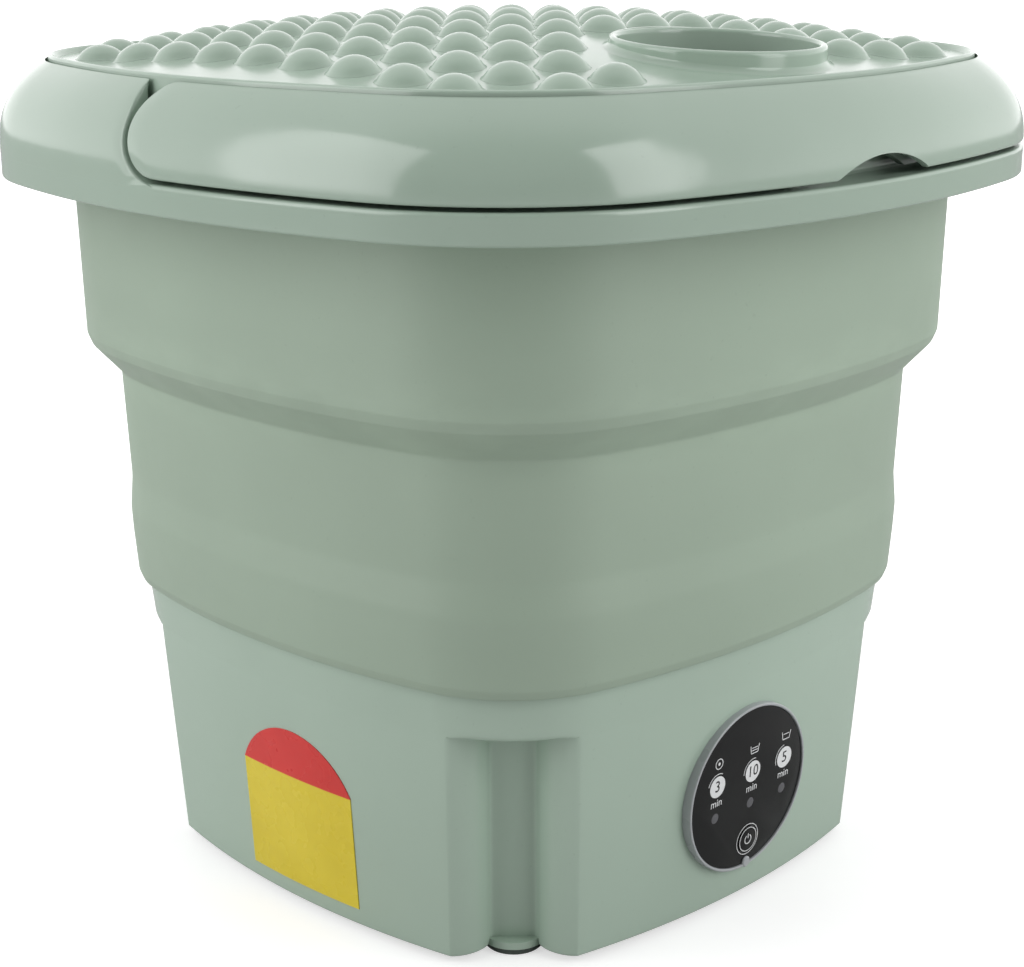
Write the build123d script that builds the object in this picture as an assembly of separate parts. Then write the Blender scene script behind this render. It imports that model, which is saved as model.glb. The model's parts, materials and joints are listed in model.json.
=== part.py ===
from build123d import *
import math
import os

# Foldable washing machine in millimetres.
# Origin: centre of the footprint on the ground, +Z up. The control panel faces -Y.

# Plan shape. Every wall follows an outline of eight tangent arcs, four shallow and four tight.
# A family of parallel outlines has one corner centre and one setback from half size to corner radius.
BODY_CORNER_CENTRE = 58.7
BODY_CORNER_SETBACK = 65.0
RIM_CORNER_CENTRE = 68.0
RIM_CORNER_SETBACK = 75.0
BODY = (BODY_CORNER_CENTRE, BODY_CORNER_SETBACK)
RIM = (RIM_CORNER_CENTRE, RIM_CORNER_SETBACK)

# Heights, each measured from the one before
foot_height = 2.5
arch_height = 77.0
collar_height = 15.0
lower_wall_height = 74.0
ledge_rise = 10.0
upper_wall_height = 56.0
flange_height = 9.0
shell_z = foot_height
arch_z = shell_z + arch_height
seam_z = arch_z + collar_height
ledge_z = seam_z + lower_wall_height
shelf_z = ledge_z + ledge_rise
flange_z = shelf_z + upper_wall_height
deck_z = flange_z + flange_height

# Half sizes across the faces
rim_half = 150.0
shell_foot_half = 104.4
shell_arch_half = 109.0
shell_seam_half = 110.6
cuff_step = 2.2
lower_wall_half = 115.0
waist_half = 114.4
ledge_half = 115.8
shelf_half = 125.0
upper_wall_half = 126.4
upper_wall_top_half = 127.4
lid_half = 136.8

# Walls and clearances
shell_wall = 2.4
soft_wall = 2.2
rim_wall = 2.5
lid_wall = 2.4
soft_gap = 0.3
run_gap = 0.05
fit_gap = 0.02
hole_gap = 0.2
assembly_gap = 0.5
overlap = 0.5
overrun = 5.0

# Corner recess, a vertical channel between two rounded lobes
channel_width = 13.6
recess_width = 40.0
channel_depth = 15.0
foot_pad_radius = 10.5
foot_radius = 9.5
foot_peg_radius = 2.5
foot_peg_height = 6.0
foot_inset = 20.5
foot_chamfer = 0.8
recess_overrun = 10.0

# Bellows
cuff_height = 16.5
bulge_rise = 9.0
bulge_half = 115.4
waist_rise = 20.0
ledge_cut = 3.5
shoulder_rise = 3.5
bead_width = 2.0
bead_height = 1.8
cuff_lead = 3.0
cuff_draft = 1.0
bond_rise = 2.0

# Top rim
lip_depth = 15.0
lip_gap = 0.7
lid_wall_rise = 25.0
deck_thickness = 2.5
clamp_recess = 2.0
clamp_thickness = 2.2
shoulder_top_rise = 28.3
shoulder_inner_half = 138.0
crown_bulge = 2.3
crown_steps = 4
clamp_screw_count = 8
clamp_boss_radius = 3.5
clamp_screw_squareness = 3.2
clamp_screw_inset = 1.0
clamp_screw_cover = 0.8
clamp_rib = 1.7
hollow_steps = 3
shoulder_end_wall = 8.0

# Carry handle
handle_gap = 1.3
handle_height = 26.4
handle_wall = 2.6
handle_outer_half = 149.6
handle_inner_half = 138.2
handle_lip_half = 137.6
pivot_y = -6.0
pivot_radius = 3.5
pivot_boss_radius = 7.0
pin_engagement = 4.0
handle_end_gap = 1.6
handle_opening_deg = 12.0
notch_width = 45.0
notch_height = 6.0
notch_x = 2.0
solid_end_length = 20.0
handle_lip_height = 4.0

# Lid
lid_lip_width = 1.3
lid_lip_rise = 1.8
lid_lip_drop = 3.0
lid_lip_root = 0.9
crown_rise = 10.5
crown_radius = 130.0
lid_skirt_depth = 9.5
lid_skirt_wall = 2.2
bump_pitch = 20.8
bump_radius = 8.6
bump_height = 5.7
bump_rows = 5
bump_sides = 8
bump_sink = 1.0
bump_shoulder = 0.54
bump_flat = 0.36
port_x = -5.0
port_y = -92.0
port_radius = 30.2
port_wall = 2.5
port_rise = 5.0
port_depth = 12.0
port_edge = 1.0

# Tub
tub_floor_z = 62.0
tub_wall = 2.4
tub_floor_radius = 88.0
tub_bowl_radius = 96.0
tub_mouth_radius = 101.5
tub_bevel = 7.0
tub_flange_thickness = 2.5
upstand_height = 9.5
upstand_step = 0.1
seal_collar = 3.0
seal_collar_rise = 1.2
drain_x = 40.0
drain_y = 76.0
drain_radius = 9.0
strainer_radius = 13.0
strainer_thickness = 1.2
strainer_ring = 5.6
strainer_hole = 1.6
strainer_holes = 6

# Drive
shaft_radius = 4.0
bearing_radius = 11.0
bearing_width = 7.0
housing_radius = 13.8
housing_length = 33.5
seal_radius = 9.0
seal_height = 5.5
bracket_drop = 2.0
bracket_thickness = 2.5
bracket_radius = 34.0
bracket_margin = 2.0
bracket_screw_offset = 20.0
bearing_shoulder = 3.0
motor_distance = 62.0
motor_radius = 21.0
motor_length = 33.0
motor_shaft_radius = 1.6
motor_chamfer = 1.5
motor_nose_radius = 6.0
motor_nose_height = 2.5
motor_bore_depth = 20.0
motor_screw_offset = 12.0
motor_pulley_radius = 8.0
drive_pulley_radius = 32.0
belt_thickness = 3.0
belt_width = 6.0
belt_z = 13.5
pulley_flange = 1.6
pulley_rim = 1.0
pulley_hole_ring = 17.0
pulley_hole_radius = 5.0
pulley_holes = 6
nut_radius = 6.5
nut_height = 1.8
shaft_stub = 1.5
impeller_radius = 68.0
impeller_thickness = 3.5
impeller_clearance = 3.0
hub_radius = 11.0
hub_height = 20.0
hub_bore = 7.5
hub_bore_depth = 4.5
hub_foot_radius = 26.0
hub_foot_rise = 6.0
hub_web = 6.0
impeller_rim = 3.0
impeller_rim_rise = 1.5
impeller_screw_radius = 2.0
impeller_screw_length = 9.0
impeller_head_radius = 4.2
impeller_head_height = 2.4
cap_rise = 3.2
cap_plug = 1.6
vane_count = 6
vane_height = 12.0
vane_root = 8.0
vane_half_width = 4.5
vane_sweep = 4.5
vane_tip_inset = 5.0
vane_tip_height = 3.0
vane_draft = 12.0

# Panel
panel_z = 42.5
bezel_radius = 29.3
bezel_proud = 2.2
bezel_seat = 1.4
bezel_lip = 0.9
bezel_dish = 1.0
overlay_thickness = 0.5
sleeve_radius = 26.0
sleeve_depth = 5.0
sleeve_wall = 2.0
post_radius = 3.0
post_x = 17.0
post_y = 13.0
button_radius = 4.7
button_z = 23.0
button_x = 2.0
button_gap = 0.3
button_travel = 0.4
button_proud = 0.3
button_stem_radius = 2.0
button_rest_gap = 0.1
button_key_depth = 2.0
lamp_radius = 1.8
lamp_z = 36.4
lamp_positions = (-16.0, 2.0, 18.5)
light_pipe_length = 3.0
light_pipe_gap = 0.4
board_lamp_radius = 1.5
board_width = 46.0
board_height = 32.0
board_thickness = 1.6
board_depth = 13.0
switch_size = 6.0
switch_height = 3.5
switch_body = 3.0
switch_key_radius = 1.7

# Back face
spout_z = 19.0
spout_radius = 11.0
spout_bore = 8.4
spout_flange_radius = 14.0
spout_flange_thickness = 2.0
nozzle_radius = 10.0
nozzle_length = 13.0
plug_radius = 8.15
plug_length = 12.0
plug_head = 3.0
plug_head_inset = 0.5
plug_neck_inset = 1.0
tab_half_width = 6.0
tab_half_thickness = 1.5
tab_length = 12.0
tab_corner = 3.0
socket_x = -52.0
socket_z = 24.0
socket_radius = 6.0
socket_flange = 8.5
socket_bore = 3.2
socket_pin = 1.0
socket_length = 14.0
socket_depth = 9.0
socket_flange_thickness = 1.5

# Bottom cover and label
cover_thickness = 2.5
cover_gap = 0.6
cover_inset = 2.0
slot_length = 34.0
slot_width = 3.0
slot_count = 7
slot_pitch = 7.0
slot_x = 48.0
cover_screw_x = 92.0
cover_screw_y = 42.0
screw_radius = 1.5
screw_head_radius = 3.0
screw_head_height = 1.8
boss_radius = 4.5
boss_height = 30.0
boss_web = 2.0
boss_cap = 6.0
cover_screw_length = 14.0
bracket_screw_length = 5.5
board_screw_length = 7.0
motor_screw_length = 6.0
motor_screw_head = 1.6
label_width = 52.5
label_y = -6.2
label_bottom = 8.5
label_side_height = 39.5
label_arch = 16.5
label_thickness = 0.3

body_slope = (shell_arch_half - shell_foot_half) / arch_height
face_tilt = math.degrees(math.atan(body_slope))


# Outlines and rings

def face_setback(family):
    """Distance from a shallow arc's centre to the origin, which makes both arcs tangent."""
    centre, setback = family
    return (2 * centre ** 2 - setback ** 2) / (2 * (setback - centre))


def outline(half, family):
    """Closed outline of eight tangent arcs, half its width from the centre to each face."""
    centre, setback = family
    back = face_setback(family)
    angle = math.atan2(centre, centre + back)
    face_radius = half + back
    tangent = Vector(face_radius * math.cos(angle) - back, face_radius * math.sin(angle))
    reach = centre + (half - setback) / math.sqrt(2)
    edges = []
    for quarter in range(4):
        turn = Rot(0, 0, 90 * quarter)
        face_arc = ThreePointArc((tangent.X, -tangent.Y), (half, 0), (tangent.X, tangent.Y))
        corner_arc = ThreePointArc((tangent.X, tangent.Y), (reach, reach), (tangent.Y, tangent.X))
        edges += [turn * face_arc, turn * corner_arc]
    return make_face(edges)


def plate(half, family, low, high):
    """Flat plate between two heights with the outline's shape."""
    return extrude(Pos(0, 0, low) * outline(half, family), amount=high - low)


def band(profile, family):
    """Ring whose section is a closed list of (half size, height) points, carried round the outline."""
    centre, setback = family
    back = face_setback(family)
    half_angle = math.degrees(math.atan2(centre, centre + back))
    sectors = []
    for quarter in range(4):
        turn = 90 * quarter
        for middle, shift, start, sweep in (
            ((-back, 0), back, -half_angle, 2 * half_angle),
            ((centre, centre), -setback, half_angle, 90 - 2 * half_angle),
        ):
            origin = Vector(*middle).rotate(Axis.Z, turn)
            radial = Vector(1, 0, 0).rotate(Axis.Z, turn + start)
            section_plane = Plane(origin, x_dir=radial, z_dir=radial.cross(Vector(0, 0, 1)))
            points = [(half + shift, height) for half, height in profile]
            section = make_face(Polyline(points, close=True))
            sector = revolve(section_plane * section, Axis(origin, (0, 0, 1)), sweep)
            sectors.append(sector)
    return sectors[0].fuse(*sectors[1:]).clean()


def tapered(low_half, low, high_half, high, family):
    """Solid whose outline grows evenly between two heights."""
    sections = [Pos(0, 0, low) * outline(low_half, family), Pos(0, 0, high) * outline(high_half, family)]
    return loft(sections, ruled=True)


def crown_profile(outer, low, inner, high, bulge, steps):
    """Points on the round arc from (outer, low) to (inner, high) that swells outward by bulge."""
    chord = Vector(inner - outer, high - low)
    middle = Vector((outer + inner) / 2, (low + high) / 2)
    normal = Vector(chord.Y, -chord.X).normalized()
    arc = ThreePointArc((outer, low), middle + normal * bulge, (inner, high))
    return [((arc @ (step / steps)).X, (arc @ (step / steps)).Y) for step in range(steps + 1)]


def cylinder_between(radius, low, high, x=0.0, y=0.0):
    """Upright cylinder between two heights."""
    return Pos(x, y, (low + high) / 2) * Cylinder(radius, high - low)


def tube_between(outer, inner, low, high, x=0.0, y=0.0):
    """Upright tube between two heights."""
    return cylinder_between(outer, low, high, x, y) - cylinder_between(inner, low - 1, high + 1, x, y)


def box_between(low, high):
    """Box between two opposite corners."""
    size = [b - a for a, b in zip(low, high)]
    middle = [(a + b) / 2 for a, b in zip(low, high)]
    return Pos(*middle) * Box(*size)


def shell_half_at(height):
    """Half size of the base shell's face at a height below the arch."""
    return shell_foot_half + body_slope * (height - shell_z)


def face_reach(half, across, family):
    """Distance from the centre plane to a bulging face, away from the face's middle."""
    back = face_setback(family)
    return math.sqrt((half + back) ** 2 - across ** 2) - back


def corner_reach(half, family):
    """Distance from the centre to the corner of an outline, along the diagonal."""
    centre, setback = family
    return centre * math.sqrt(2) + half - setback


# Base

def recess_section(half, grow):
    """Plan of one corner recess on the +X axis: a channel whose mouth opens over two rounded lobes."""
    centre, setback = BODY
    corner_radius = half - setback
    half_recess = recess_width / 2
    lobe_radius = half_recess - channel_width / 2 - grow
    lobe_top = centre * math.sqrt(2) + math.sqrt(corner_radius ** 2 - half_recess ** 2) - grow
    lobe_centre = lobe_top - lobe_radius
    floor = max(corner_reach(half, BODY) - channel_depth - grow, lobe_centre)
    end = math.acos((floor - lobe_centre) / lobe_radius)
    outside = corner_reach(shell_seam_half, BODY) + recess_overrun

    def on_lobe(angle, side):
        across = half_recess - lobe_radius * math.sin(angle)
        return lobe_centre + lobe_radius * math.cos(angle), side * across

    right, left = [[on_lobe(angle, side) for angle in (0, end / 2, end)] for side in (1, -1)]
    return make_face([
        Line((outside, half_recess), right[0]),
        ThreePointArc(right[0], right[1], right[2]),
        Line(right[2], left[2]),
        ThreePointArc(left[2], left[1], left[0]),
        Line(left[0], (outside, -half_recess)),
        Line((outside, -half_recess), (outside, half_recess)),
    ])


def corner_recesses(grow):
    """The four recess cutters. They lean with the faces and end under the arch."""
    heights = (shell_z - recess_overrun, arch_z + grow)
    sections = [Pos(0, 0, height) * recess_section(shell_half_at(height), grow) for height in heights]
    cutter = loft(sections, ruled=True)
    return [Rot(0, 0, 45 + 90 * quarter) * cutter for quarter in range(4)]


def foot_places():
    """Centres of the four feet, just inside the recesses."""
    reach = corner_reach(shell_foot_half, BODY) - foot_inset
    offset = reach / math.sqrt(2)
    return [(sx * offset, sy * offset) for sx in (-1, 1) for sy in (-1, 1)]


def cover_screw_places():
    return [(sx * cover_screw_x, sy * cover_screw_y) for sx in (-1, 1) for sy in (-1, 1)]


def panel_plane():
    """Plane tangent to the front face at the panel's centre, facing out."""
    tilt = math.radians(face_tilt)
    normal = Vector(0, -math.cos(tilt), -math.sin(tilt))
    return Plane((0, -shell_half_at(panel_z), panel_z), x_dir=(1, 0, 0), z_dir=normal)


def panel_point(x, z):
    """Local coordinates on the panel of a point at a width and height on the front."""
    return x, (z - panel_z) / math.cos(math.radians(face_tilt))


def panel_disc(radius, low, high, x=0.0, y=0.0):
    """Disc on the panel's axis between two distances in front of the tangent plane."""
    return panel_plane() * Pos(x, y, (low + high) / 2) * Cylinder(radius, high - low)


def cover_z():
    return shell_z + cover_inset


def base_shell():
    """Rigid casing: leaning faces, a collar under the seam and an arched recess on each corner."""
    outer = tapered(shell_foot_half, shell_z, shell_arch_half, arch_z, BODY)
    outer += tapered(shell_arch_half, arch_z, shell_seam_half, seam_z, BODY)
    inner_low = shell_z - overrun
    inner_arch_half = shell_arch_half - shell_wall
    inner = tapered(shell_half_at(inner_low) - shell_wall, inner_low, inner_arch_half, arch_z, BODY)
    inner += tapered(inner_arch_half, arch_z, shell_seam_half - shell_wall, seam_z + overrun, BODY)
    outer -= corner_recesses(0)
    inner -= corner_recesses(shell_wall)
    shell = outer - inner
    for x, y in foot_places():
        pad = cylinder_between(foot_pad_radius, shell_z, shell_z + shell_wall, x, y)
        shell += pad - cylinder_between(foot_peg_radius + fit_gap, 0, shell_z + overrun, x, y)
    for x, y in cover_screw_places():
        shell += cover_screw_boss(x, y)
    shell -= panel_disc(bezel_radius + assembly_gap / 2, -bezel_seat, overrun)
    shell -= panel_disc(sleeve_radius + assembly_gap / 2, -2 * overrun, overrun)
    drain_wall = shell_half_at(spout_z)
    socket_wall = shell_half_at(socket_z)
    reach = 2 * overrun
    shell -= back_cylinder(
        spout_radius + assembly_gap / 2, drain_wall - reach, drain_wall + reach, drain_x, spout_z)
    shell -= back_cylinder(
        socket_radius + fit_gap, socket_wall - reach, socket_wall + reach, socket_x, socket_z)
    return shell


def cover_screw_boss(x, y):
    """Screw boss inside the casing, joined to the nearest side face by a web."""
    low = cover_z() + cover_thickness
    high = low + boss_height
    wall = math.copysign(face_reach(shell_half_at(low), y, BODY) - shell_wall / 2, x)
    boss = cylinder_between(boss_radius, low, high, x, y)
    half_web = boss_web / 2
    web = box_between((min(x, wall), y - half_web, low), (max(x, wall), y + half_web, high))
    hole = cylinder_between(screw_radius + fit_gap, low - overrun, high - boss_cap, x, y)
    return (boss + web) - hole


def upstand_half():
    """Outer half size of the tub's upstand, level with the casing's edge."""
    return shell_seam_half + upstand_step


def tub_floor():
    """Round basin under a square deck, with the upstand that the soft wall is bonded to."""
    low = tub_floor_z - tub_wall
    bend = tub_floor_z + tub_bevel
    deck_top = seam_z + tub_flange_thickness
    half_wall = tub_wall / 2
    bowl = revolve(Plane.XZ * make_face(Polyline([
        (0, low), (tub_floor_radius, low), (tub_bowl_radius, bend - half_wall), (tub_mouth_radius, deck_top),
        (tub_mouth_radius - tub_wall, deck_top), (tub_bowl_radius - tub_wall, bend),
        (tub_floor_radius - half_wall, tub_floor_z), (0, tub_floor_z),
    ], close=True)), Axis.Z)
    mouth = cylinder_between(tub_mouth_radius - half_wall, seam_z - overrun, deck_top + overrun)
    deck = plate(upstand_half(), BODY, seam_z, deck_top) - mouth
    upstand_low = seam_z + tub_flange_thickness / 2
    upstand = band([
        (upstand_half() - tub_wall, upstand_low), (upstand_half(), upstand_low),
        (upstand_half(), seam_z + upstand_height), (upstand_half() - tub_wall, seam_z + upstand_height),
    ], BODY)
    collar = cylinder_between(seal_radius + seal_collar, low, tub_floor_z + seal_collar_rise)
    tub = bowl + deck + upstand + collar
    cut_low = low - overrun
    cut_high = tub_floor_z + overrun
    tub -= cylinder_between(seal_radius + run_gap, cut_low, cut_high)
    tub -= cylinder_between(drain_radius, cut_low, cut_high, drain_x, drain_y)
    tub -= cylinder_between(
        strainer_radius + assembly_gap / 2, tub_floor_z - strainer_thickness, cut_high, drain_x, drain_y)
    for x, y in bracket_screw_places():
        pad = cylinder_between(boss_radius, bracket_top(), low + overlap, x, y)
        hole = cylinder_between(screw_radius + fit_gap, cut_low, tub_floor_z - tub_wall / 4, x, y)
        tub = (tub + pad) - hole
    return tub


def strainer():
    """Pierced disc that lies flush in the basin over the drain."""
    low = tub_floor_z - strainer_thickness
    disc = cylinder_between(strainer_radius, low, tub_floor_z, drain_x, drain_y)
    places = [(drain_x, drain_y)]
    for turn in range(strainer_holes):
        angle = 2 * math.pi * turn / strainer_holes
        places.append((drain_x + strainer_ring * math.cos(angle), drain_y + strainer_ring * math.sin(angle)))
    for x, y in places:
        disc -= cylinder_between(strainer_hole, low - overrun, tub_floor_z + overrun, x, y)
    return disc


def bottom_cover():
    """Flat cover inside the shell's lower edge, cut round the corners, with rows of air slots."""
    low = cover_z()
    high = low + cover_thickness
    half = shell_half_at(low) - shell_wall - cover_gap
    cover = plate(half, BODY, low, high)
    cover -= corner_recesses(shell_wall + cover_gap)
    for x, y in foot_places():
        cover -= cylinder_between(foot_pad_radius + cover_gap, 0, high + overrun, x, y)
    for x, y in cover_screw_places():
        cover -= cylinder_between(screw_radius + hole_gap, 0, high + overrun, x, y)
    for side in (-1, 1):
        for row in range(slot_count):
            y = (row - (slot_count - 1) / 2) * slot_pitch
            shape = Pos(side * slot_x, y, 0) * SlotOverall(slot_length, slot_width)
            cover -= extrude(shape, amount=high + overrun)
    return cover


def feet():
    """Four round rubber feet, each with a peg that plugs into the shell's corner pad."""
    pieces = []
    for x, y in foot_places():
        foot = cylinder_between(foot_radius, 0, shell_z, x, y)
        foot = chamfer(foot.edges().group_by(Axis.Z)[0], foot_chamfer)
        peg = cylinder_between(foot_peg_radius, shell_z, shell_z + foot_peg_height, x, y)
        pieces.append(foot + peg)
    return Compound(children=pieces)


def screw(x, y, head_low, length):
    """Pan head screw that points up."""
    head = cylinder_between(screw_head_radius, head_low, head_low + screw_head_height, x, y)
    shank_low = head_low + screw_head_height
    return head + cylinder_between(screw_radius, shank_low, shank_low + length, x, y)


def cover_screws():
    head_low = cover_z() - screw_head_height
    return Compound(children=[screw(x, y, head_low, cover_screw_length) for x, y in cover_screw_places()])


# Soft wall

def ledge_shift():
    """How far the inner corners of the ledge sit above the outer ones, so that the wall stays even."""
    lean = math.atan2(shelf_half - ledge_half, ledge_rise)
    return soft_wall * math.tan(lean / 2)


def ledge_half_at(height):
    return ledge_half + (shelf_half - ledge_half) * (height - ledge_z) / ledge_rise


def bellows_cuff():
    """Lowest part of the soft wall, which overhangs the seam and stays with the base."""
    inner = upstand_half() + soft_gap
    top = seam_z + cuff_height
    return band([
        (inner, seam_z),
        (shell_seam_half + cuff_step, seam_z),
        (lower_wall_half - cuff_draft, seam_z + cuff_lead),
        (lower_wall_half, top),
        (lower_wall_half - soft_wall, top),
        (inner, seam_z + upstand_height + bond_rise),
    ], BODY)


def bellows_fold_wall():
    """Part of the soft wall that turns down when the machine is folded."""
    low = seam_z + cuff_height
    high = ledge_z + ledge_cut
    thick = soft_wall / math.cos(math.atan2(shelf_half - ledge_half, ledge_rise))
    return band([
        (lower_wall_half, low),
        (bulge_half, low + bulge_rise),
        (waist_half, low + waist_rise),
        (ledge_half, ledge_z),
        (ledge_half_at(high), high),
        (ledge_half_at(high) - thick, high),
        (ledge_half - soft_wall, ledge_z + ledge_shift()),
        (waist_half - soft_wall, low + waist_rise),
        (lower_wall_half - soft_wall, low),
    ], BODY)


def bellows_upper_wall():
    """Rest of the ledge and the wide upper wall, with the bead that the clamp ring holds."""
    low = ledge_z + ledge_cut
    thick = soft_wall / math.cos(math.atan2(shelf_half - ledge_half, ledge_rise))
    bead_top = deck_z - deck_thickness - soft_gap
    return band([
        (ledge_half_at(low), low),
        (shelf_half, shelf_z),
        (upper_wall_half, shelf_z + shoulder_rise),
        (upper_wall_top_half, flange_z),
        (upper_wall_top_half, bead_top - bead_height),
        (upper_wall_top_half + bead_width, bead_top - bead_height),
        (upper_wall_top_half + bead_width, bead_top),
        (upper_wall_top_half - soft_wall, bead_top),
        (upper_wall_half - soft_wall, shelf_z + shoulder_rise + ledge_shift()),
        (shelf_half - soft_wall, shelf_z + ledge_shift()),
        (ledge_half_at(low) - thick, low),
    ], BODY)


# Top rim and its clamp ring

def pivot_z():
    return deck_z + handle_gap + handle_height / 2


def x_cylinder(radius, low, high, y, z):
    """Cylinder along X between two distances from the centre plane."""
    return Pos((low + high) / 2, y, z) * Rot(0, 90, 0) * Cylinder(radius, high - low)


def handle_clearance():
    """Space that the handle's round ends turn in. It widens upward, so that the handle can lean back."""
    radius = handle_height / 2 + handle_end_gap
    top = pivot_z() + 2 * radius
    open_y = pivot_y + radius + math.tan(math.radians(handle_opening_deg)) * (top - pivot_z())
    reach = rim_half + overrun
    side = Polyline([
        (-reach, deck_z), (-reach, top), (open_y, top), (pivot_y + radius, pivot_z()),
        (pivot_y, pivot_z()), (pivot_y, deck_z)], close=True)
    section_plane = Plane((-reach, 0, 0), x_dir=(0, 1, 0), z_dir=(1, 0, 0))
    block = extrude(section_plane * make_face(side), amount=2 * reach)
    round_end = x_cylinder(radius, -reach, reach, pivot_y, pivot_z())
    return block + (round_end & box_between((-reach, -reach, deck_z), (reach, reach, top)))


def clamp_screw_places():
    """Screws stand round the middle of the flange."""
    places = []
    for index in range(clamp_screw_count):
        angle = math.radians(360 / clamp_screw_count * (index + 0.5))
        x = math.cos(angle)
        y = math.sin(angle)
        reach = (upper_wall_top_half + rim_half) / 2 + clamp_screw_inset
        power = clamp_screw_squareness
        scale = reach / (abs(x) ** power + abs(y) ** power) ** (1 / power)
        places.append((x * scale, y * scale))
    return places


def lid_wall_half():
    """Outer half size of the upright wall that the lid sits on."""
    return lid_half - lid_lip_width - soft_gap


def rear_shoulder():
    """Crowned block behind the handle, hollow from below between its two end walls."""
    top = deck_z + shoulder_top_rise
    low = deck_z - overlap
    arc = crown_profile(rim_half, low, shoulder_inner_half, top, crown_bulge, crown_steps)
    shoulder = band(arc + [(shoulder_inner_half, low)], RIM)
    return shoulder - handle_clearance()


def shoulder_hollow():
    """Space under the shoulder, open through the deck."""
    top = deck_z + shoulder_top_rise - 2 * rim_wall
    low = deck_z - deck_thickness - overlap
    inner = shoulder_inner_half + rim_wall
    arc = crown_profile(rim_half - rim_wall, low, inner, top, crown_bulge, hollow_steps)
    hollow = band(arc + [(inner, low)], RIM)
    end_wall_y = pivot_y + handle_height / 2 + handle_end_gap + handle_gap + shoulder_end_wall
    reach = rim_half + overrun
    return hollow & box_between((-reach, end_wall_y, 0), (reach, reach, top + overrun))


def top_rim():
    """Rim moulding: flange skirt, deck, wall for the lid, lip inside the soft wall, rear shoulder."""
    deck_low = deck_z - deck_thickness
    lip_outer = upper_wall_top_half - soft_wall - lip_gap
    lip_inner = lip_outer - rim_wall
    wall_outer = lid_wall_half()
    wall_top = deck_z + lid_wall_rise
    skirt_inner = rim_half - rim_wall
    skirt = band([
        (skirt_inner, flange_z), (rim_half, flange_z), (rim_half, deck_z), (skirt_inner, deck_z),
    ], RIM)
    mouth = plate(lip_inner, BODY, deck_low - overrun, deck_z + overrun)
    deck = plate(rim_half - rim_wall / 2, RIM, deck_low, deck_z) - mouth
    lip = band([
        (lip_inner, deck_low - lip_depth), (lip_outer, deck_low - lip_depth),
        (lip_outer, deck_low + overlap), (lip_inner, deck_low + overlap),
    ], BODY)
    lid_wall_ring = band([
        (wall_outer - rim_wall, deck_low + overlap), (wall_outer, deck_low + overlap), (wall_outer, wall_top),
        (wall_outer - rim_wall, wall_top),
    ], RIM)
    rim = skirt + deck + lip + lid_wall_ring + rear_shoulder()
    rim -= shoulder_hollow()
    boss_end = handle_inner_half - soft_gap
    boss = x_cylinder(pivot_boss_radius, wall_outer - overlap, boss_end, pivot_y, pivot_z())
    bore_start = wall_outer - 2 * overrun
    bore = x_cylinder(pivot_radius + fit_gap, bore_start, boss_end + overrun, pivot_y, pivot_z())
    rim = (rim + boss + mirror(boss, Plane.YZ)) - bore - mirror(bore, Plane.YZ)
    clamp_top = flange_z + clamp_recess + clamp_thickness
    for x, y in clamp_screw_places():
        boss = cylinder_between(clamp_boss_radius, clamp_top, deck_low, x, y)
        hole_top = deck_z - clamp_screw_cover
        rim = (rim + boss) - cylinder_between(screw_radius + fit_gap, clamp_top - overrun, hole_top, x, y)
    return rim


def clamp_ring():
    """Ring under the flange that holds the soft wall's bead against the deck."""
    low = flange_z + clamp_recess
    high = low + clamp_thickness
    outer = plate(rim_half - rim_wall - assembly_gap, RIM, low, high)
    ring = outer - plate(upper_wall_top_half + soft_gap, BODY, low - overrun, high + overrun)
    rib_inner = upper_wall_top_half + bead_width + soft_gap
    rib_top = deck_z - deck_thickness
    ring += band([
        (rib_inner, high - overlap), (rib_inner, rib_top),
        (rib_inner + clamp_rib, rib_top), (rib_inner + clamp_rib, high - overlap),
    ], BODY)
    for x, y in clamp_screw_places():
        ring -= cylinder_between(screw_radius + hole_gap, low - overrun, high + overrun, x, y)
    return ring


def clamp_screws():
    head_low = flange_z + clamp_recess - screw_head_height
    length = deck_z - clamp_screw_cover - flange_z - clamp_recess - overlap
    return Compound(children=[screw(x, y, head_low, length) for x, y in clamp_screw_places()])


# Carry handle

def handle_solid(profile):
    """Front half of a ring, with ends that are round about the pivot."""
    ring = band(profile, RIM)
    reach = rim_half + overrun
    front = box_between((-reach, -reach, deck_z), (reach, pivot_y, pivot_z() + handle_height))
    ends = x_cylinder(handle_height / 2, -reach, reach, pivot_y, pivot_z())
    return ring & (front + ends)


def carry_handle():
    """Bail with a crowned outer face, hollow from below, a finger notch and solid round ends."""
    low = deck_z + handle_gap
    high = low + handle_height
    outer_arc = crown_profile(handle_outer_half, low, handle_lip_half, high, crown_bulge, crown_steps)
    inner_face = [(handle_inner_half, high - handle_lip_height), (handle_inner_half, low)]
    handle = handle_solid(outer_arc + inner_face)
    inner = handle_inner_half + handle_wall
    outer = handle_outer_half - handle_wall
    hollow_low = low - overlap
    hollow_arc = crown_profile(outer, hollow_low, inner, high - 2 * handle_wall, crown_bulge, hollow_steps)
    hollow = band(hollow_arc + [(inner, hollow_low)], RIM)
    reach = rim_half + overrun
    hollow &= box_between((-reach, -reach, 0), (reach, pivot_y - solid_end_length, high))
    handle -= hollow
    half_notch = notch_width / 2
    left = notch_x - half_notch
    right = notch_x + half_notch
    arch = make_face([
        Line((left, hollow_low), (left, low)),
        ThreePointArc((left, low), (notch_x, low + notch_height), (right, low)),
        Line((right, low), (right, hollow_low)),
        Line((right, hollow_low), (left, hollow_low)),
    ])
    handle -= extrude(Plane.XZ * arch, amount=reach)
    bore = x_cylinder(pivot_radius + run_gap, lid_half, pin_end() + soft_gap, pivot_y, pivot_z())
    return handle - bore - mirror(bore, Plane.YZ)


def pin_end():
    """How far the pins reach, short of the handle's crowned face above them."""
    return handle_inner_half + pin_engagement


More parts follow.
